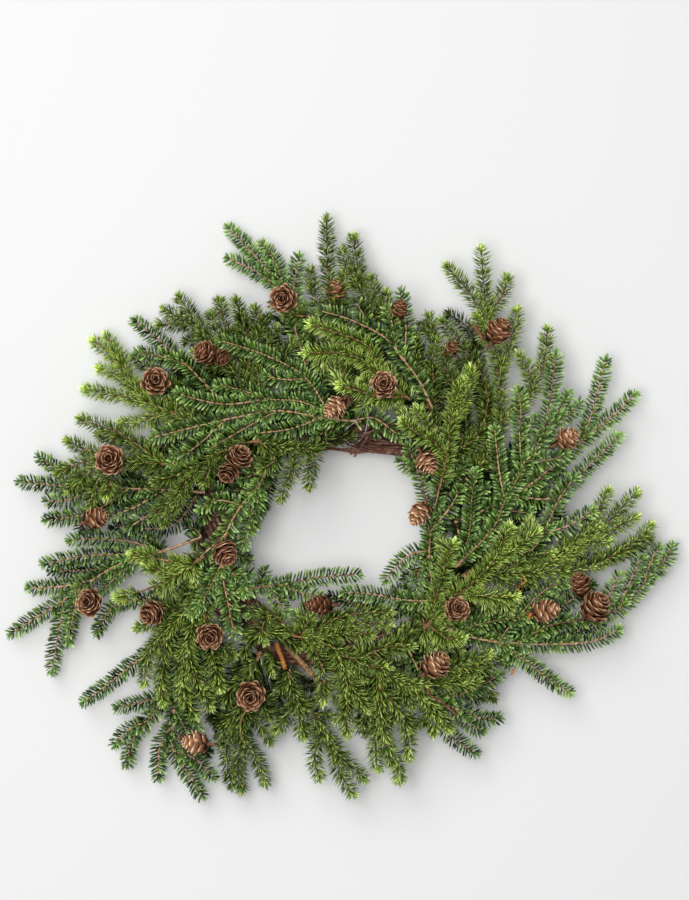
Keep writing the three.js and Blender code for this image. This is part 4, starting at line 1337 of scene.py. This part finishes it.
def cone_piece(name, nodes, cone, top, seed):
    """A cone, with its twin if it has one, lifted until it reaches top, and its bent stalk."""
    rng = np.random.default_rng(CONE_SEED + seed)
    piece = Piece()
    parts = [cone] + ([{**cone, **cone["twin"]}] if "twin" in cone else [])
    lift = top - max(cone_top(part, rest_height(part)) for part in parts)
    bases = []
    for part in parts:
        centre = np.array([*part["at"], rest_height(part) + lift])
        bases.append(cone_body(piece, part, centre, rng))
    base, axis = bases[0]
    if len(bases) == 2:
        twin_base, twin_axis = bases[1]
        middle = (base + twin_base) / 2 - (0, 0, 4)
        link = smooth_line([base + axis * 2, middle, twin_base + twin_axis * 2], 3.0)
        piece.add(Shape(bar(link, np.full(len(link), 1.3), 7)), 1, tone=0.6)
    level = np.array([axis[0], axis[1], 0])
    tail = smooth_line([base + axis * 3, base - axis * 3.5, base - level * 5 - (0, 0, 6),
                        base - level * 6 - (0, 0, min(15, base[2] - 3))], 3.0)
    piece.add(Shape(bar(tail, np.linspace(1.4, 1.0, len(tail)), 7)), 1, tone=0.55)
    piece.finish(name, nodes, "cone", (CONE_SCALE, STALK_BARK))


for seed, cone in enumerate(CONES):
    node = f"cone_{seed + 1:02d}"
    cone_piece(f"{node}_scales", [node], cone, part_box(node)[1].z / MM, seed)
for seed, cone in enumerate(HALF_HIDDEN_CONES):
    top = top_at(*cone["at"]) + HALF_HIDDEN_RISE
    cone_piece(f"half_hidden_cone_{seed + 1}", [], cone, top, HALF_HIDDEN_SEED + seed)

# ------------------------------------------------------------------ ring, wire and cut wood


def twisted(start, sweep, twist_radius, phase, count):
    """A line that twists round the ring's own line."""
    angle = start + sweep * np.linspace(0, 1, count)
    twist = phase + VINE_TURNS * angle
    out = twist_radius * np.cos(twist)
    x = RING_CENTRE_X + (RING_HALF_LENGTH + out) * np.cos(angle)
    y = (RING_HALF_WIDTH + out) * np.sin(angle)
    return np.column_stack([x, y, RING_HEIGHT + twist_radius * np.sin(twist)])


def strands_round(path, count, spread, turns, phase):
    """Paths of thin strands that twist round a vine's own line."""
    _, across, over = frames_along(path)
    share = np.linspace(0, 1, len(path))
    for k in range(count):
        twist = (2 * math.pi * (k / count + turns * share) + phase)[:, None]
        yield path + spread * (across * np.cos(twist) + over * np.sin(twist))


VINE_SEED = 300
VINE_PLACES = 150
OUTER_STRANDS = 8
CORE_STRANDS = 2
STRAND_RADIUS = 1.6
CORE_STRAND_SIZE = 1.7

# Loose tendrils on each vine: where each starts and ends, and its radius at the start.
TENDRILS = [
    [((34, 96, 44), (22, 77, 33), 1.2), ((23, 99, 42), (18, 81, 35), 1.0),
     ((-16, 87, 20), (24, 80, 16), 1.6), ((18, 80, 16), (58, 84, 22), 1.6),
     ((-8, 84, 28), (38, 82, 14), 1.4)],
    [((-30, -98, 42), (-54, -62, 30), 1.1), ((-4, -108, 40), (-34, -76, 33), 1.0)],
    [((-96, 20, 40), (-74, 40, 30), 1.0), ((8, -88, 38), (-22, -79, 37), 1.2)],
]


def ring_vine(index):
    """A vine of wavy bark strands, thin ones outside and thick ones in its core, with its tendrils."""
    node = f"ring_vine_{index + 1}"
    phase = 2 * math.pi * index / VINE_COUNT
    rng = np.random.default_rng(VINE_SEED + index)
    line = twisted(phase, VINE_SWEEP, VINE_TWIST_RADIUS, phase, VINE_PLACES)
    outer = strands_round(line, OUTER_STRANDS, spread=5.6, turns=2.5, phase=phase)
    inner = strands_round(line, CORE_STRANDS, spread=2.6, turns=4, phase=phase + 1)
    piece = Piece()
    for k, strand in enumerate([*outer, *inner]):
        strand = strand + 0.7 * np.sin(np.linspace(0, 23 + 5 * k, len(strand)) + k)[:, None]
        radii = STRAND_RADIUS + 0.25 * np.sin(np.linspace(0, 40, len(strand)) + k * 2 + phase * 3)
        radii = radii * (rng.uniform(0.7, 1.2) if k < OUTER_STRANDS else CORE_STRAND_SIZE)
        strand[:, 2] = np.maximum(strand[:, 2], radii * 1.4)
        piece.add(Shape(bar(strand, radii, 5, ripple=0.5)), tone=float(rng.uniform(0.1, 1.0)))
    for start, end, thick in TENDRILS[index]:
        tendril = smooth_line([start, (np.array(start) + end) / 2 + (0.8, 0.5, 0.8), end], 3.0)
        radii = np.linspace(thick, thick * 0.8, len(tendril))
        piece.add(Shape(bar(tendril, radii, 6, ripple=0.3)), tone=0.8)
    piece.finish(f"{node}_strands", [node], "vine", (VINE_BARK,))


def binding_wire():
    """The wire along the groove between two vines, and its loose loop on top of the foliage."""
    sweep = WIRE_END - WIRE_START
    wound = twisted(WIRE_START, sweep, WIRE_GROOVE_RADIUS, math.pi / VINE_COUNT, WIRE_PLACES)
    loop = [(x, y, np.interp(y, [88, 100], [45.0, top_at(x, y) + 4])) for x, y in WIRE_LOOP]
    route = smooth_line(np.vstack([wound, loop]), 2.5)
    piece = Piece()
    piece.add(Shape(bar(route, np.full(len(route), WIRE_RADIUS), 7)))
    piece.finish("binding_wire_round", ["binding_wire"], "wire", (WIRE_METAL,))


def cut_wood(node, start, end, width, slot, material):
    """A length of wood, cut at both ends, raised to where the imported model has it."""
    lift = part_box(node)[0].z / MM - (min(start[2], end[2]) - width * 0.38)
    path = resample(np.array([start, end], float) + (0, 0, lift), 2.0)
    share = np.linspace(0, 1, len(path))
    radii = width / 2 * np.interp(share, [0, 0.5, 0.97, 1], [0.8, 1, 0.8, 0.72])
    piece = Piece()
    piece.add(Shape(bar(path, radii, 12, ripple=0.35)))
    piece.finish(f"{node}_wood", [node], slot, (material,))


for index in range(VINE_COUNT):
    ring_vine(index)
binding_wire()
cut_wood("cut_vine_twig", (-39, -93, 43), (-6, -130, 36), 6.0, "twig", TWIG_BARK)
cut_wood("cut_vine_splinter", (-48, -90, 47), (-40, -114, 45), 4.8, "splinter", SPLIT_WOOD)

SCRAP_KINDS = {
    "splinter": ("splinter", SPLIT_WOOD),
    "stalk": ("cone", STALK_BARK),
    "twig": ("twig", TWIG_BARK),
}
for name, kind, line, widths in SCRAPS:
    slot, material = SCRAP_KINDS[kind]
    route = smooth_line([(x, y, top_at(x, y) + 1) for x, y in line], 1.5)
    radii = np.interp(np.linspace(0, 2, len(route)), [0, 1, 2], widths) / 2
    piece = Piece()
    piece.add(Shape(bar(route, radii, 8, ripple=0.4)), tone=0.6)
    piece.finish(name, [], slot, (material,))

# The plan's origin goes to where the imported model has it.
shift = Matrix.Translation((PLAN_ORIGIN[0] * MM, PLAN_ORIGIN[1] * MM, 0))
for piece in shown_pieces():
    if piece.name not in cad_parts:
        piece.data.transform(shift)

# ------------------------------------------------------------------ stage

TABLE_HALF_WIDTH = 3.0
TABLE_WHITE = (0.85, 0.855, 0.85, 1)
ROOM_LIGHT = 0.26
EYE = (0.004, 0.0525, 3.0)
VIEW_PLANE = 0.035
VIEW_HEIGHT = 0.810


def area_light(name, place, size, power):
    """A square lamp that looks at the wreath."""
    light = bpy.data.lights.new(name, "AREA")
    light.energy = power
    light.size = size
    lamp = bpy.data.objects.new(name, light)
    lamp.location = place
    lamp.rotation_euler = (-Vector(place)).to_track_quat("-Z", "Y").to_euler()
    bpy.context.scene.collection.objects.link(lamp)


def stage():
    """A pale table in a soft bright room, with a ceiling lamp and a window."""
    bm = bmesh.new()
    bmesh.ops.create_grid(bm, x_segments=1, y_segments=1, size=TABLE_HALF_WIDTH)
    mesh = bpy.data.meshes.new("table_top")
    bm.to_mesh(mesh)
    bm.free()
    floor = bpy.data.objects.new("table_top", mesh)
    bpy.context.scene.collection.objects.link(floor)
    finish = Finish("pale_table", 0.7)
    finish.colour(TABLE_WHITE)
    mesh.materials.append(finish.material)
    world = bpy.data.worlds.new("soft_room")
    bpy.context.scene.world = world
    world.use_nodes = True
    background = world.node_tree.nodes["Background"].inputs
    background["Color"].default_value = (1.0, 1.0, 1.0, 1)
    background["Strength"].default_value = ROOM_LIGHT
    area_light("ceiling", (-0.6, 0.1, 3.4), size=2.0, power=78)
    area_light("window", (-1.4, 2.2, 2.7), size=2.2, power=44)
    bpy.context.scene.view_settings.view_transform = "Standard"


def camera():
    """Straight down, with the lens that takes in VIEW_HEIGHT at the height of the foliage."""
    data = bpy.data.cameras.new("overhead")
    data.lens = data.sensor_width * (EYE[2] - VIEW_PLANE) / VIEW_HEIGHT
    eye = bpy.data.objects.new("overhead", data)
    eye.location = EYE
    bpy.context.scene.collection.objects.link(eye)
    bpy.context.scene.camera = eye


stage()
camera()
